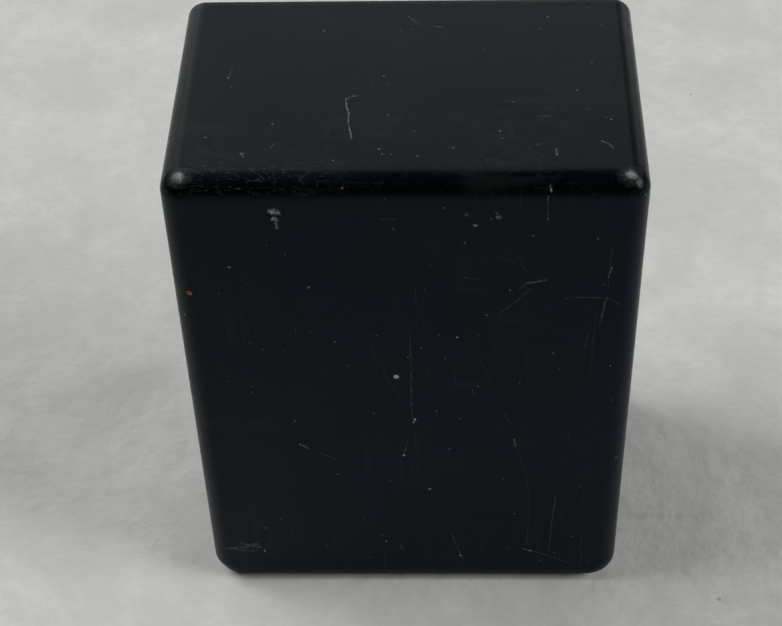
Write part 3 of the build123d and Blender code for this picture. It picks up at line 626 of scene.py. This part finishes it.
def dent(p):
    """Moves a point of the outer skin inward, and never outward.

    It gives the moulding its slight waviness, the chip, the resin ring and the rubbed corners.
    """
    in_x, in_z = HALF_W - abs(p.x), HALF_H - abs(p.z - HALF_H)
    if p.y > case_hi.y - 1.0 * MM or min(in_x, in_z) > 0.9 * LAP and p.y > FACE_Y + 0.9 * WALL:
        return p
    p = p.copy()
    out = p - core_of(p)
    out.normalize()
    wave = math.sin(p.x * 210 + 1.3) * math.sin(p.z * 150 + 0.4) + 0.6 * math.sin(p.y * 320 + p.x * 120)
    depth = 0.011 * MM * (wave - 2.6)
    if abs(p.y - FACE_Y) < 0.3 * MM:
        for (x, z), radius, deep in CHIP:
            ragged = 1 + 0.22 * math.sin(9 * p.x / MM + 5 * p.z / MM)
            away = math.hypot(p.x / MM - x, p.z / MM - z) * ragged
            if away < radius:
                depth -= deep * MM * (1 - (away / radius) ** 2)
            elif away < radius * 1.35:
                depth += 0.05 * MM * (1 - (away - radius) / (0.35 * radius))
        (x, z), ring, half, high = BEAD
        off = abs(math.hypot(p.x / MM - x, p.z / MM - z) - ring)
        if off < half:
            return p + out * min(0.0, depth + high * MM * (1 - (off / half) ** 2))
    for side in (-1, 1):
        corner = Vector((side * (HALF_W - 1.8 * MM), FACE_Y + 1.8 * MM, TOP_Z - 1.1 * MM))
        away = (p - corner).length / MM
        if away < 3.0:
            ragged = 1 + 0.6 * math.sin(4.1 * p.x / MM + side) * math.sin(5.3 * p.y / MM)
            depth -= 0.10 * MM * (1 - away / 3.0) * ragged
    foot = Vector((-(HALF_W - 1.6 * MM), FACE_Y + 1.9 * MM, 2.6 * MM))
    away = (p - foot).length / MM
    if away < 2.6:
        depth -= 0.22 * MM * (1 - away / 2.6)
    return p + out * min(depth, 0.0)


def prism(outline, y_low, y_high):
    """Closed solid with an (x, z) outline, as vertices and faces."""
    count = len(outline)
    verts = [(x, y, z) for y in (y_low, y_high) for x, z in outline]
    faces = [tuple(range(count)), tuple(range(2 * count - 1, count - 1, -1))]
    faces += [(i, i + count, (i + 1) % count + count, (i + 1) % count) for i in range(count)]
    return verts, faces


def circle(radius, x, z, count=48):
    angles = [2 * math.pi * i / count for i in range(count)]
    return [(x + radius * math.cos(a), z + radius * math.sin(a)) for a in angles]


def join_solids(name, solids, material):
    verts, faces = [], []
    for v, f in solids:
        shift = len(verts)
        verts += v
        faces += [tuple(i + shift for i in face) for face in f]
    return new_object(name, verts, faces, material)


BOSS_X, BOSS_Z, BOSS_R = 30.5, 42.5, 4.0 * MM  # the first two in mm from the case's middle
INSERT_R, INSERT_DEEP = 2.32 * MM, 7.5 * MM


def boss_places():
    """The x and z of each boss and the signs of the corner that it is in."""
    return [(sx * BOSS_X * MM, HALF_H + sz * BOSS_Z * MM, sx, sz) for sx in (-1, 1) for sz in (-1, 1)]


def case_bosses(material):
    """Pillars in the cavity's corners, rounded on the inner side and sunk into the walls."""
    solids = []
    reach = 5.0 * MM
    for x, z, sx, sz in boss_places():
        angles = np.linspace(math.pi / 2, 2 * math.pi, 40)
        outline = [(BOSS_R * math.cos(a), BOSS_R * math.sin(a)) for a in angles]
        outline += [(reach, 0.0), (reach, reach), (0.0, reach)]
        outline = [(x + sx * u, z + sz * v) for u, v in outline]
        solids.append(prism(outline, FACE_Y + WALL - 0.5 * MM, case_hi.y - PANEL_T))
    return join_solids("bosses", solids, material)


def insert_holes(material):
    """What the threaded inserts take out of the bosses."""
    solids = []
    y_top = case_hi.y - PANEL_T
    for x, z, _, _ in boss_places():
        solids.append(prism(circle(INSERT_R, x, z), y_top - INSERT_DEEP, y_top + 0.5 * MM))
    return join_solids("holes", solids, material)


# ---- the other finishes


def polar(s, centre):
    """Angle about an axis along Y through centre, and distance from it."""
    x, y, z = s.split(s.vector("SUBTRACT", s.point, (centre[0], 0.0, centre[1])))
    angle = s.math("ARCTAN2", z, x)
    radius = s.math("SQRT", s.plus(s.times(x, x), s.times(z, z)))
    return angle, radius, y


def noise_at(s, x, y, z, scale, detail=2.0):
    """Noise read at a place made of three values."""
    place = s.node("ShaderNodeCombineXYZ", {0: x, 1: y, 2: z})
    shape = {"Vector": place.outputs[0], "Scale": scale, "Detail": detail}
    return s.node("ShaderNodeTexNoise", shape).outputs["Fac"]


def edge_wear(s, size=0.0003):
    """1 on outward edges, from the angle between the true and the rounded normal."""
    bevel = s.node("ShaderNodeBevel", {"Radius": size}, samples=4)
    flat = s.node("ShaderNodeNewGeometry")
    along = s.vector("DOT_PRODUCT", bevel.outputs[0], flat.outputs["Normal"])
    edge = s.ramp(along, 0.985, 0.90)
    return s.times(edge, s.patches(900.0, 3.0, 0.35, 0.60, 0.25, 1.0))


SWITCH_AXIS = (0.0, 0.0155)
WELL_AXIS = (0.0, 0.060)
PANEL_Y = case_hi.y


def laminate(group):
    """Black paper laminate: satin, with a pressed-paper grain, rubbed edges and handling scratches."""
    s = Shader("black_laminate", (0.0085, 0.0078, 0.0075), 0.42, 0.35)
    fibre = s.noise(520.0, 4.0, (0.25, 1.0, 1.0), 0.3)
    cloud = s.patches(45.0, 3.0, 0.35, 0.68)
    upright = s.hairlines(420.0, (1.0, 1.0, 0.05), (0.0, 0.24, 0.0), 0.014)
    hair = s.times(upright, s.patches(85.0, 3.0, 0.50, 0.62, 0.0, 0.7))
    lines = random.Random(11)
    for _ in range(22):
        turn, out = lines.uniform(0, 2 * math.pi), lines.uniform(27.5, 44.0)
        x = max(-33.0, min(33.0, out * math.cos(turn)))
        z = max(6.0, min(94.0, 60 + 1.3 * out * math.sin(turn)))
        lean, length = turn + math.pi / 2 + lines.gauss(0.0, 0.35), lines.uniform(1.5, 9.0)
        start = x * MM, PANEL_Y, z * MM
        along = length * math.cos(lean) * MM, 0.0, length * math.sin(lean) * MM
        width, strength = lines.uniform(0.10, 0.20) * MM, lines.uniform(0.4, 2.2)
        hair = s.math("MAXIMUM", hair, s.line_mark(group, s.point, start, along, width, strength))
    ring_angle, ring_radius, _ = polar(s, SWITCH_AXIS)
    rub = s.beside(ring_radius, 9.3 * MM, 0.0009, 0.0001)
    rub = s.times(rub, s.ramp(noise_at(s, ring_angle, s.times(ring_radius, 2500.0), 0.0, 1.4), 0.45, 0.62))
    dust = s.specks(520.0, 0.09, 0.03, 80.0, 1.0, 0.46, 0.60)
    edge = edge_wear(s, 0.0004)
    pale = s.plus(s.times(hair, 0.030), s.times(rub, 0.05))
    pale = s.plus(pale, s.times(dust, 0.10))
    base = s.mix(cloud, (0.0070, 0.0066, 0.0066), (0.0125, 0.0112, 0.0100))
    base = s.mix(s.ramp(fibre, 0.35, 0.70, 0.0, 0.35), base, (0.020, 0.016, 0.012))
    base = s.mix(s.times(edge, 0.5), base, (0.060, 0.040, 0.024))
    s.set("Base Color", s.mix(pale, base, (0.9, 0.9, 0.88)))
    rough = s.patches(300.0, 4.0, 0.30, 0.72, 0.33, 0.50)
    s.set("Roughness", s.plus(rough, s.times(hair, 0.12)))
    s.bump((fibre, 0.00002), (s.noise(2600.0, 2.0), 0.000006), (hair, -0.00001))
    return s.material


def liner():
    """The well's moulded liner: glossier than the case, with axial rub marks inside and a worn lip."""
    s = Shader("liner_moulding", (0.012, 0.012, 0.013), 0.22, 0.42)
    angle, radius, depth = polar(s, WELL_AXIS)
    turn = noise_at(s, s.times(angle, 9.0), s.times(depth, 12.0), 0.0, 3.0, 3.0)
    rub = s.beside(turn, 0.5, 0.016)
    inside = s.ramp(radius, 0.0236, 0.0230)
    rub = s.times(s.times(rub, inside), s.patches(110.0, 2.0, 0.42, 0.60))
    circles = noise_at(s, s.times(radius, 2600.0), angle, 0.0, 1.0, 3.0)
    lip = s.times(s.beside(radius, 24.3 * MM, 0.0014, 0.0002), s.ramp(depth, 0.0246, 0.0256))
    worn = s.times(lip, s.patches(1900.0, 4.0, 0.40, 0.66))
    upright = s.hairlines(300.0, (1.0, 1.0, 0.06), (0.2, 0.5, 0.0), 0.014)
    hair = s.times(upright, s.patches(90.0, 2.0, 0.48, 0.60, 0.0, 0.6))
    dust = s.specks(560.0, 0.08, 0.03, 90.0, 1.0, 0.46, 0.60)
    pale = s.plus(s.times(rub, 0.045), s.times(worn, 0.022))
    pale = s.plus(pale, s.plus(s.times(hair, 0.03), s.times(dust, 0.07)))
    base = s.mix(s.patches(60.0, 3.0, 0.4, 0.65), (0.0095, 0.0098, 0.0112), (0.0150, 0.0145, 0.0140))
    s.set("Base Color", s.mix(pale, base, (0.9, 0.9, 0.9)))
    rough = s.plus(s.patches(420.0, 4.0, 0.32, 0.70, 0.15, 0.27), s.times(worn, 0.2))
    s.set("Roughness", s.plus(rough, s.times(rub, 0.18)))
    s.bump((circles, 0.000002), (s.noise(900.0, 2.0), 0.000008), (rub, -0.00001))
    return s.material


def metal(name, colour, rough, tarnish, tarnish_colour, turned=None, line_depth=0.000004):
    """Plated or bare metal with fine working lines, tarnish in patches and rubbed edges."""
    s = Shader(name, colour, rough, 0.5, 1.0)
    grain = s.noise(1400.0, 3.0, (1.0, 0.25, 1.0))
    if turned:
        angle, radius, along = polar(s, turned)
        grain = noise_at(s, s.times(radius, 5200.0), s.times(along, 5200.0), s.times(angle, 0.4), 1.0, 3.0)
    patch = s.patches(380.0, 4.0, 0.44, 0.66)
    spots = s.specks(900.0, 0.22, 0.08, 260.0, 2.0, 0.50, 0.62)
    dull = s.math("MAXIMUM", s.times(patch, tarnish), s.times(spots, 0.7))
    edge = edge_wear(s, 0.00022)
    dull = s.times(dull, s.math("SUBTRACT", 1.0, edge))
    bright = tuple(min(1.0, c * 1.12) for c in colour)
    base = s.mix(s.ramp(grain, 0.3, 0.7), tuple(c * 0.88 for c in colour), colour)
    base = s.mix(s.times(edge, 0.6), base, bright)
    s.set("Base Color", s.mix(dull, base, tarnish_colour))
    spread = s.ramp(grain, 0.25, 0.75, rough - 0.07, rough + 0.08)
    s.set("Roughness", s.plus(spread, s.times(dull, 0.25)))
    s.bump((grain, line_depth), (s.noise(700.0, 3.0), 0.000008))
    return s


def brass():
    return metal("brass", (0.72, 0.52, 0.22), 0.30, 0.45, (0.24, 0.14, 0.05)).material


def zinc():
    """Zinc-plated steel: pale grey with a faint straw and blue passivation."""
    s = metal("zinc_steel", (0.58, 0.585, 0.58), 0.34, 0.35, (0.30, 0.27, 0.22))
    film = s.noise(500.0, 2.0)
    link = s.bsdf.inputs["Base Color"].links[0].from_socket
    tinted = s.mix(s.ramp(film, 0.54, 0.70, 0.0, 0.5), link, (0.62, 0.53, 0.34))
    tinted = s.mix(s.ramp(film, 0.46, 0.30, 0.0, 0.4), tinted, (0.45, 0.52, 0.62))
    s.set("Base Color", tinted)
    return s.material


def nickel():
    colour, tarnish = (0.70, 0.68, 0.63), (0.34, 0.31, 0.25)
    return metal("nickel_plate", colour, 0.20, 0.30, tarnish, SWITCH_AXIS, 0.000003).material


def spring_steel():
    return metal("spring_steel", (0.42, 0.42, 0.43), 0.30, 0.5, (0.16, 0.13, 0.11)).material


def button_red():
    """Red phenolic button: a dull moulded skirt, a dome polished by fingers and dirt at its foot."""
    s = Shader("button_red", (0.42, 0.025, 0.020), 0.30, 0.45)
    _, radius, along = polar(s, SWITCH_AXIS)
    polished = s.ramp(radius, 0.0033, 0.0008)
    polished = s.times(polished, s.ramp(along, 0.0300, 0.0312))
    circles = noise_at(s, s.times(radius, 4200.0), s.times(along, 4200.0), 0.0, 1.0, 3.0)
    grime = s.times(s.patches(800.0, 4.0, 0.40, 0.62), s.ramp(along, 0.0302, 0.0284))
    scuff = s.hairlines(900.0, (1.0, 1.0, 0.12), (0.0, 0.6, 0.3), 0.035)
    scuff = s.times(scuff, s.patches(500.0, 2.0, 0.44, 0.58))
    base = s.mix(s.patches(420.0, 3.0, 0.35, 0.68), (0.36, 0.017, 0.014), (0.47, 0.032, 0.024))
    base = s.mix(s.times(scuff, 0.22), base, (0.75, 0.40, 0.36))
    s.set("Base Color", s.mix(s.times(grime, 0.75), base, (0.055, 0.016, 0.013)))
    rough = s.math("SUBTRACT", s.patches(1100.0, 4.0, 0.30, 0.70, 0.26, 0.42), s.times(polished, 0.10))
    s.set("Roughness", s.plus(rough, s.times(grime, 0.25)))
    s.bump((circles, 0.000003), (s.noise(1500.0, 3.0), 0.000008), (scuff, -0.000006))
    return s.material


def rubber():
    """Matt black rubber with a grey bloom and pitted skin."""
    s = Shader("black_rubber", (0.014, 0.014, 0.014), 0.62, 0.30)
    bloom = s.times(s.patches(420.0, 5.0, 0.42, 0.68), 0.55)
    dust = s.specks(1200.0, 0.20, 0.06, 300.0, 2.0, 0.42, 0.58)
    base = s.mix(bloom, (0.012, 0.012, 0.012), (0.040, 0.040, 0.038))
    s.set("Base Color", s.mix(s.times(dust, 0.16), base, (0.75, 0.75, 0.72)))
    s.set("Roughness", s.patches(700.0, 4.0, 0.3, 0.7, 0.52, 0.74))
    s.bump((s.noise(2300.0, 4.0), 0.00003), (s.noise(500.0, 2.0), 0.00003))
    return s.material


def plastic(name, dark, light, rough, grain=900.0, weight=0.0):
    """Moulded plastic with slight clouding, a fine mould texture and soiled patches."""
    s = Shader(name, light, rough, 0.45)
    s.set("Subsurface Weight", weight)
    s.set("Subsurface Radius", (0.002, 0.0015, 0.001))
    s.set("Subsurface Scale", 0.5)
    cloud = s.patches(140.0, 4.0, 0.34, 0.68)
    soil = s.times(s.patches(700.0, 4.0, 0.52, 0.70), 0.35)
    base = s.mix(cloud, dark, light)
    s.set("Base Color", s.mix(soil, base, tuple(c * 0.45 for c in dark)))
    s.set("Roughness", s.ramp(s.noise(grain, 4.0), 0.30, 0.70, rough - 0.07, rough + 0.10))
    s.bump((s.noise(grain * 2.0, 3.0), 0.00001), (s.noise(260.0, 2.0), 0.00002))
    return s


def nylon():
    return plastic("cream_nylon", (0.62, 0.55, 0.42), (0.78, 0.73, 0.62), 0.40, 800.0, 0.15).material


def block_ivory():
    return plastic("ivory_nylon", (0.68, 0.63, 0.52), (0.82, 0.79, 0.72), 0.38, 800.0, 0.15).material


def switch_moulding():
    return plastic("brown_phenolic", (0.020, 0.015, 0.011), (0.040, 0.031, 0.024), 0.36, 1200.0).material


def lead_pvc(name, colour):
    return plastic(name, tuple(c * 0.72 for c in colour), colour, 0.38, 1500.0).material


def copper():
    """Enamelled wire, wound in level turns with crossings in places."""
    s = Shader("enamelled_copper", (0.62, 0.26, 0.12), 0.28, 0.6, 0.85)
    s.set("Coat Weight", 0.6)
    s.set("Coat Roughness", 0.15)
    angle, radius, along = polar(s, WELL_AXIS)
    drift = s.times(noise_at(s, s.times(angle, 1.4), s.times(along, 90.0), 0.0, 1.0), 0.0006)
    turns = ridges(s, s.plus(along, drift), 0.00045)
    layers = ridges(s, radius, 0.00042)
    both = s.math("MINIMUM", turns, layers)
    base = s.mix(s.patches(260.0, 3.0, 0.36, 0.66), (0.46, 0.16, 0.065), (0.68, 0.30, 0.14))
    s.set("Base Color", s.mix(s.times(s.math("SUBTRACT", 1.0, both), 0.8), base, (0.09, 0.030, 0.014)))
    s.set("Roughness", s.patches(900.0, 3.0, 0.3, 0.7, 0.20, 0.36))
    s.bump((both, 0.00012), (s.noise(900.0, 2.0), 0.00001))
    return s.material


def ridges(s, value, pitch):
    """0 in each groove and 1 on each round ridge, pitch apart along value."""
    half = s.math("SINE", s.times(value, math.pi / pitch))
    return s.math("POWER", s.math("ABSOLUTE", half), 0.6)


def tape():
    """Varnished cotton tape, half lapped, with its weave and darker lap edges."""
    s = Shader("varnished_tape", (0.50, 0.38, 0.19), 0.45, 0.4)
    angle, _, along = polar(s, WELL_AXIS)
    slant = s.plus(along, s.times(angle, 0.0016))
    lap = s.math("FRACT", s.times(slant, 1 / 0.0095))
    edge = s.ramp(lap, 0.06, 0.0)
    around = s.times(angle, 0.032)
    weave = s.times(ridges(s, around, 0.00038), ridges(s, along, 0.00038))
    soak = s.patches(150.0, 4.0, 0.36, 0.66)
    base = s.mix(soak, (0.40, 0.28, 0.12), (0.60, 0.48, 0.27))
    base = s.mix(s.times(s.math("SUBTRACT", 1.0, weave), 0.45), base, (0.22, 0.14, 0.055))
    s.set("Base Color", s.mix(s.times(edge, 0.7), base, (0.15, 0.09, 0.035)))
    s.set("Roughness", s.patches(300.0, 4.0, 0.3, 0.7, 0.32, 0.60))
    s.bump((weave, 0.00006), (lap, 0.0002), (s.noise(400.0, 3.0), 0.00004))
    return s.material


def felt():
    """Grey wool felt: matted fibres in every direction."""
    s = Shader("grey_felt", (0.30, 0.30, 0.285), 0.95, 0.1)
    s.set("Sheen Weight", 0.35)
    s.set("Sheen Roughness", 0.5)
    upright = s.hairlines(700.0, (1.0, 1.0, 0.15), (0.0, 0.5, 0.2), 0.06)
    level = s.hairlines(760.0, (0.15, 1.0, 1.0), (0.3, 0.4, 0.5), 0.06)
    fibres = s.math("MAXIMUM", upright, level)
    flock = s.noise(1300.0, 5.0, distortion=0.8)
    base = s.mix(s.ramp(flock, 0.30, 0.70), (0.17, 0.17, 0.165), (0.40, 0.40, 0.38))
    s.set("Base Color", s.mix(s.times(fibres, 0.5), base, (0.52, 0.51, 0.48)))
    s.set("Roughness", s.ramp(flock, 0.3, 0.7, 0.88, 1.0))
    s.bump((flock, 0.00022), (fibres, 0.0001))
    return s.material


def sleeving():
    """Varnished glass sleeving with a crossed braid."""
    s = Shader("braided_sleeving", (0.60, 0.46, 0.17), 0.42, 0.45)
    x, y, z = s.split(s.point)
    one = ridges(s, s.plus(s.plus(x, z), y), 0.0006)
    two = ridges(s, s.math("SUBTRACT", s.plus(x, z), y), 0.0006)
    braid = s.times(one, two)
    base = s.mix(s.patches(300.0, 3.0, 0.36, 0.66), (0.46, 0.32, 0.10), (0.68, 0.54, 0.22))
    s.set("Base Color", s.mix(s.times(s.math("SUBTRACT", 1.0, braid), 0.6), base, (0.20, 0.12, 0.035)))
    s.set("Roughness", s.patches(900.0, 3.0, 0.3, 0.7, 0.34, 0.52))
    s.bump((braid, 0.00008), (s.noise(900.0, 2.0), 0.00001))
    return s.material


def tube_along(points, radius, sides=14):
    """Vertices and faces of a round wire that follows points, with flat ends."""
    verts = []
    count = len(points)
    side = None
    for i, p in enumerate(points):
        ahead = (points[min(i + 1, count - 1)] - points[max(i - 1, 0)]).normalized()
        if side is None:
            side = ahead.orthogonal().normalized()
        side = (side - ahead * side.dot(ahead)).normalized()
        other = ahead.cross(side)
        for k in range(sides):
            a = 2 * math.pi * k / sides
            verts.append(p + (side * math.cos(a) + other * math.sin(a)) * radius)
    faces = ring_faces(count, sides)
    faces += [tuple(range(sides))[::-1], tuple((count - 1) * sides + k for k in range(sides))]
    return verts, faces


def build_spring(material):
    """The return spring: a wire helix whose end turns lie flat against the shelf and the button."""
    lo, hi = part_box("return_spring")
    wire = 0.22 * MM  # its radius
    mean = (hi.x - lo.x) / 2 - wire
    centre = (lo + hi) / 2
    bottom, top = lo.y + wire, hi.y - wire
    closed, turns, per_turn = 0.8, 6.0, 40
    lift_closed = closed * 2.02 * wire
    points = []
    for i in range(int(turns * per_turn) + 1):
        t = i / per_turn
        if t < closed:
            y = bottom + lift_closed * t / closed
        elif t > turns - closed:
            y = top - lift_closed * (turns - t) / closed
        else:
            open_height = top - bottom - 2 * lift_closed
            y = bottom + lift_closed + open_height * (t - closed) / (turns - 2 * closed)
        a = 2 * math.pi * t
        points.append(Vector((centre.x + mean * math.cos(a), y, centre.z + mean * math.sin(a))))
    spring = new_object("return_spring_wire", *tube_along(points, wire), material, 50.0)
    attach(spring, "housing")
    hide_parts("return_spring")
    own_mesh(spring)


def turned_screws(node, seed):
    """The node's screws, each turned about its own axis to where it came tight."""
    source = bpy.data.objects[node]
    mesh = source.data.copy()
    mesh.materials.clear()
    mesh.materials.append(source.material_slots[0].material)
    work = bmesh.new()
    work.from_mesh(mesh)
    bmesh.ops.remove_doubles(work, verts=work.verts, dist=1e-6)
    chance = random.Random(seed)
    left = set(work.verts)
    groups = []
    while left:
        stack, island = [min(left, key=lambda v: v.index)], []
        left.discard(stack[0])
        while stack:
            vert = stack.pop()
            island.append(vert)
            for edge in vert.link_edges:
                other = edge.other_vert(vert)
                if other in left:
                    left.discard(other)
                    stack.append(other)
        groups.append(island)
    for island in groups:
        low = Vector([min(v.co[i] for v in island) for i in range(3)])
        high = Vector([max(v.co[i] for v in island) for i in range(3)])
        middle = (low + high) / 2
        spin = Matrix.Rotation(chance.uniform(0, math.pi), 3, "Y")
        for vert in island:
            vert.co = middle + spin @ (vert.co - middle)
    work.to_mesh(mesh)
    work.free()
    mesh.shade_smooth()
    mesh.set_sharp_from_angle(angle=math.radians(28.0))
    screws = place_object(node + "_turned", mesh)
    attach(screws, "housing")
    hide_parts(node)


def build_bush(material):
    """The switch bush, with its thread cut as a real helix."""
    lo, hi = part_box("switch_bush")
    cx, cz = (lo.x + hi.x) / 2, (lo.z + hi.z) / 2
    outer, bore, pitch, deep = (hi.x - lo.x) / 2, 4.2 * MM, 0.75 * MM, 0.34 * MM
    sides, chamfer = 72, 0.5 * MM
    verts = []
    for y in steps(lo.y, hi.y, pitch / 10):
        for k in range(sides):
            a = 2 * math.pi * k / sides
            phase = (y / pitch - k / sides) % 1.0
            cut = deep * max(0.0, 1 - 2.4 * abs(phase - 0.5))
            slope = max(0.0, chamfer - (hi.y - y), chamfer - (y - lo.y))
            r = outer - max(cut, slope)
            verts.append((cx + r * math.cos(a), y, cz + r * math.sin(a)))
    wide, ease = bore + 0.3 * MM, 0.3 * MM
    for y, r in ((hi.y, wide), (hi.y - ease, bore), (lo.y + ease, bore), (lo.y, wide)):
        for k in range(sides):
            a = 2 * math.pi * k / sides
            verts.append((cx + r * math.cos(a), y, cz + r * math.sin(a)))
    faces = ring_faces(len(verts) // sides, sides, closed=True)
    bush = new_object("threaded_bush", verts, faces, material, 28.0)
    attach(bush, "housing")
    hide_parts("switch_bush")


# ---- camera, floor and lights

# The camera's place in metres and its angles in degrees, as fitted to the photograph.
CAMERA_AT = Vector((0.00726, -0.231147, 0.279799))
CAMERA_PITCH, CAMERA_YAW, CAMERA_ROLL = 45.009, 2.726, -2.077
CAMERA_LENS, CAMERA_SENSOR = 82.926, 36.0  # both in mm
LAMP_AIM = Vector((0.0, 0.0, 0.04))
LAMP_DISTANCE = 1.2


def add_camera():
    pitch, yaw, roll = (math.radians(a) for a in (CAMERA_PITCH, CAMERA_YAW, CAMERA_ROLL))
    ahead = Vector((-math.sin(yaw) * math.cos(pitch), math.cos(yaw) * math.cos(pitch), -math.sin(pitch)))
    level = Vector((math.cos(yaw), math.sin(yaw), 0.0))
    above = level.cross(ahead)
    right = level * math.cos(roll) + above * math.sin(roll)
    up = above * math.cos(roll) - level * math.sin(roll)
    camera = place_object("camera", bpy.data.cameras.new("camera"))
    place = Matrix((right, up, -ahead)).transposed().to_4x4()
    place.translation = CAMERA_AT
    camera.matrix_world = place
    camera.data.lens = CAMERA_LENS
    camera.data.sensor_width = CAMERA_SENSOR
    camera.data.clip_start = 0.01
    bpy.context.scene.camera = camera


def add_light(name, azimuth, elevation, size, watts):
    """A soft box that faces the case. Azimuth 0 is the plain face's side and 90 is +X."""
    data = bpy.data.lights.new(name, "AREA")
    data.shape = "RECTANGLE"
    data.size, data.size_y = size
    data.energy = watts
    light = place_object(name, data)
    a, e = math.radians(azimuth), math.radians(elevation)
    towards = Vector((math.sin(a) * math.cos(e), -math.cos(a) * math.cos(e), math.sin(e)))
    light.location = LAMP_AIM + towards * LAMP_DISTANCE
    light.rotation_mode = "QUATERNION"
    light.rotation_quaternion = towards.to_track_quat("Z", "Y")


def floor_material():
    s = Shader("pale_paper", (0.60, 0.60, 0.59), 0.95, 0.1)
    cloud = s.ramp(s.noise(42.0, 5.0, distortion=0.5), 0.32, 0.68)
    fibre = s.noise(900.0, 3.0, (0.45, 1.0, 1.0), 0.4)
    crease = s.hairlines(17.0, (0.5, 1.0, 1.0), fineness=0.012)
    crease = s.times(crease, s.patches(30.0, 2.0, 0.54, 0.66))
    fleck = s.specks(75.0, 0.045, 0.025, 20.0, 1.0, 0.56, 0.60)
    blot = s.ramp(s.noise(210.0, 4.0, distortion=0.6), 0.30, 0.70)
    colour = s.mix(cloud, (0.545, 0.549, 0.530), (0.625, 0.628, 0.607))
    colour = s.mix(s.times(blot, 0.30), colour, (0.49, 0.495, 0.48))
    colour = s.mix(s.ramp(fibre, 0.30, 0.75, 0.0, 0.26), colour, (0.48, 0.48, 0.465))
    colour = s.mix(s.times(crease, 0.16), colour, (0.36, 0.36, 0.34))
    s.set("Base Color", s.mix(s.times(fleck, 0.5), colour, (0.20, 0.18, 0.16)))
    s.bump((s.noise(70.0, 4.0), 0.0011), (s.noise(300.0, 4.0), 0.0002), (s.noise(1500.0, 2.0), 0.00006))
    return s.material


def add_floor():
    reach = 4.0
    half = 24
    verts = []
    marks = [math.copysign((abs(i) / half) ** 3, i) * reach for i in range(-half, half + 1)]
    for y in marks:
        for x in marks:
            near = math.exp(-((math.hypot(x, y) / 0.25) ** 2))
            verts.append((x, y, -0.00005 - 0.0012 * (1 - near) * (0.5 + 0.5 * math.sin(x * 9 + y * 5))))
    ground = new_object("floor", verts, grid_faces(len(marks), len(marks)), floor_material())


def add_world():
    """Pale near the horizon and dark overhead, like a plain studio."""
    world = bpy.data.worlds.new("studio")
    bpy.context.scene.world = world
    world.use_nodes = True
    t = Nodes(world.node_tree)
    place = t.node("ShaderNodeTexCoord")
    split = t.node("ShaderNodeSeparateXYZ", {0: place.outputs["Generated"]})
    ramp = t.node("ShaderNodeValToRGB", {0: split.outputs["Z"]})
    horizon, overhead = ramp.color_ramp.elements
    horizon.position, horizon.color = 0.06, (0.17, 0.172, 0.175, 1.0)
    overhead.position, overhead.color = 0.30, (0.012, 0.012, 0.013, 1.0)
    background = t.tree.nodes["Background"].inputs
    t.plug(background["Color"], ramp.outputs["Color"])
    t.plug(background["Strength"], 1.0)


add_camera()
add_floor()
add_world()
bpy.context.scene.view_settings.view_transform = "Standard"
add_light("right_lamp", 75, 32, (0.55, 0.55), 9.1)
add_light("left_lamp", 263, 55, (0.62, 0.62), 8.6)
add_light("back_screen_low", 181, 10, (2.2, 0.6), 3.2)
add_light("back_screen", 187, 27, (1.15, 0.95), 2.8)
add_light("back_left_screen", 232, 45, (1.0, 1.0), 1.7)

# ---- pieces

marking = line_mark_group()
phenolic = case_material("black_phenolic", marking, SIDE_TINTS)
face_lines = FACE_SCRATCHES + CHIP_MARKS
phenolic_face = case_material(
    "black_phenolic_face", marking, FACE_SHADED_TINTS, face_lines, FACE_SPOTS, face_point, FACE_FLECKS
)
phenolic_top = case_material("black_phenolic_top", marking, LID_LIT_TINTS, TOP_SCRATCHES, TOP_SPOTS, top_point)
case = build_case(phenolic)
case.data.materials.append(phenolic_face)
case.data.materials.append(phenolic_top)
for face in case.data.polygons:
    if face.normal.y < -0.5 and face.center.y < FACE_Y + EDGE_R:
        face.material_index = 1
    elif face.normal.z > 0.5 and face.center.z > TOP_Z - EDGE_R:
        face.material_index = 2

FINISHES = [
    (brass(), ["panel_inserts", "fixed_contacts", "contact_bridge", "terminal_barrels"]),
    (laminate(marking), ["cover_panel"]),
    (
        zinc(),
        [
            "panel_screws", "bobbin_screws", "bobbin_washers", "bobbin_nuts", "switch_lock_washer",
            "plunger_stem", "terminal_screws", "block_screw", "block_nut",
        ],
    ),
    (nylon(), ["coil_bobbin"]),
    (copper(), ["coil_winding"]),
    (tape(), ["coil_tape"]),
    (felt(), ["felt_ring"]),
    (liner(), ["well_liner"]),
    (nickel(), ["switch_nut"]),
    (switch_moulding(), ["switch_body", "contact_plate"]),
    (button_red(), ["button_cap"]),
    (spring_steel(), ["stem_clip"]),
    (rubber(), ["cord_grommet"]),
    (block_ivory(), ["terminal_block"]),
    (lead_pvc("brown_pvc", (0.16, 0.07, 0.035)), ["lead_coil_to_switch", "lead_switch_to_block"]),
    (lead_pvc("blue_pvc", (0.04, 0.10, 0.32)), ["lead_coil_to_block"]),
    (sleeving(), ["joint_sleeves"]),
]
for finish, nodes_of_it in FINISHES:
    for node_name in nodes_of_it:
        for slot in bpy.data.objects[node_name].material_slots:
            slot.material = finish
for index, node_name in enumerate(("panel_screws", "bobbin_screws", "block_screw", "terminal_screws")):
    turned_screws(node_name, 5 + index)
build_spring(bpy.data.materials["spring_steel"])
build_bush(bpy.data.materials["nickel_plate"])
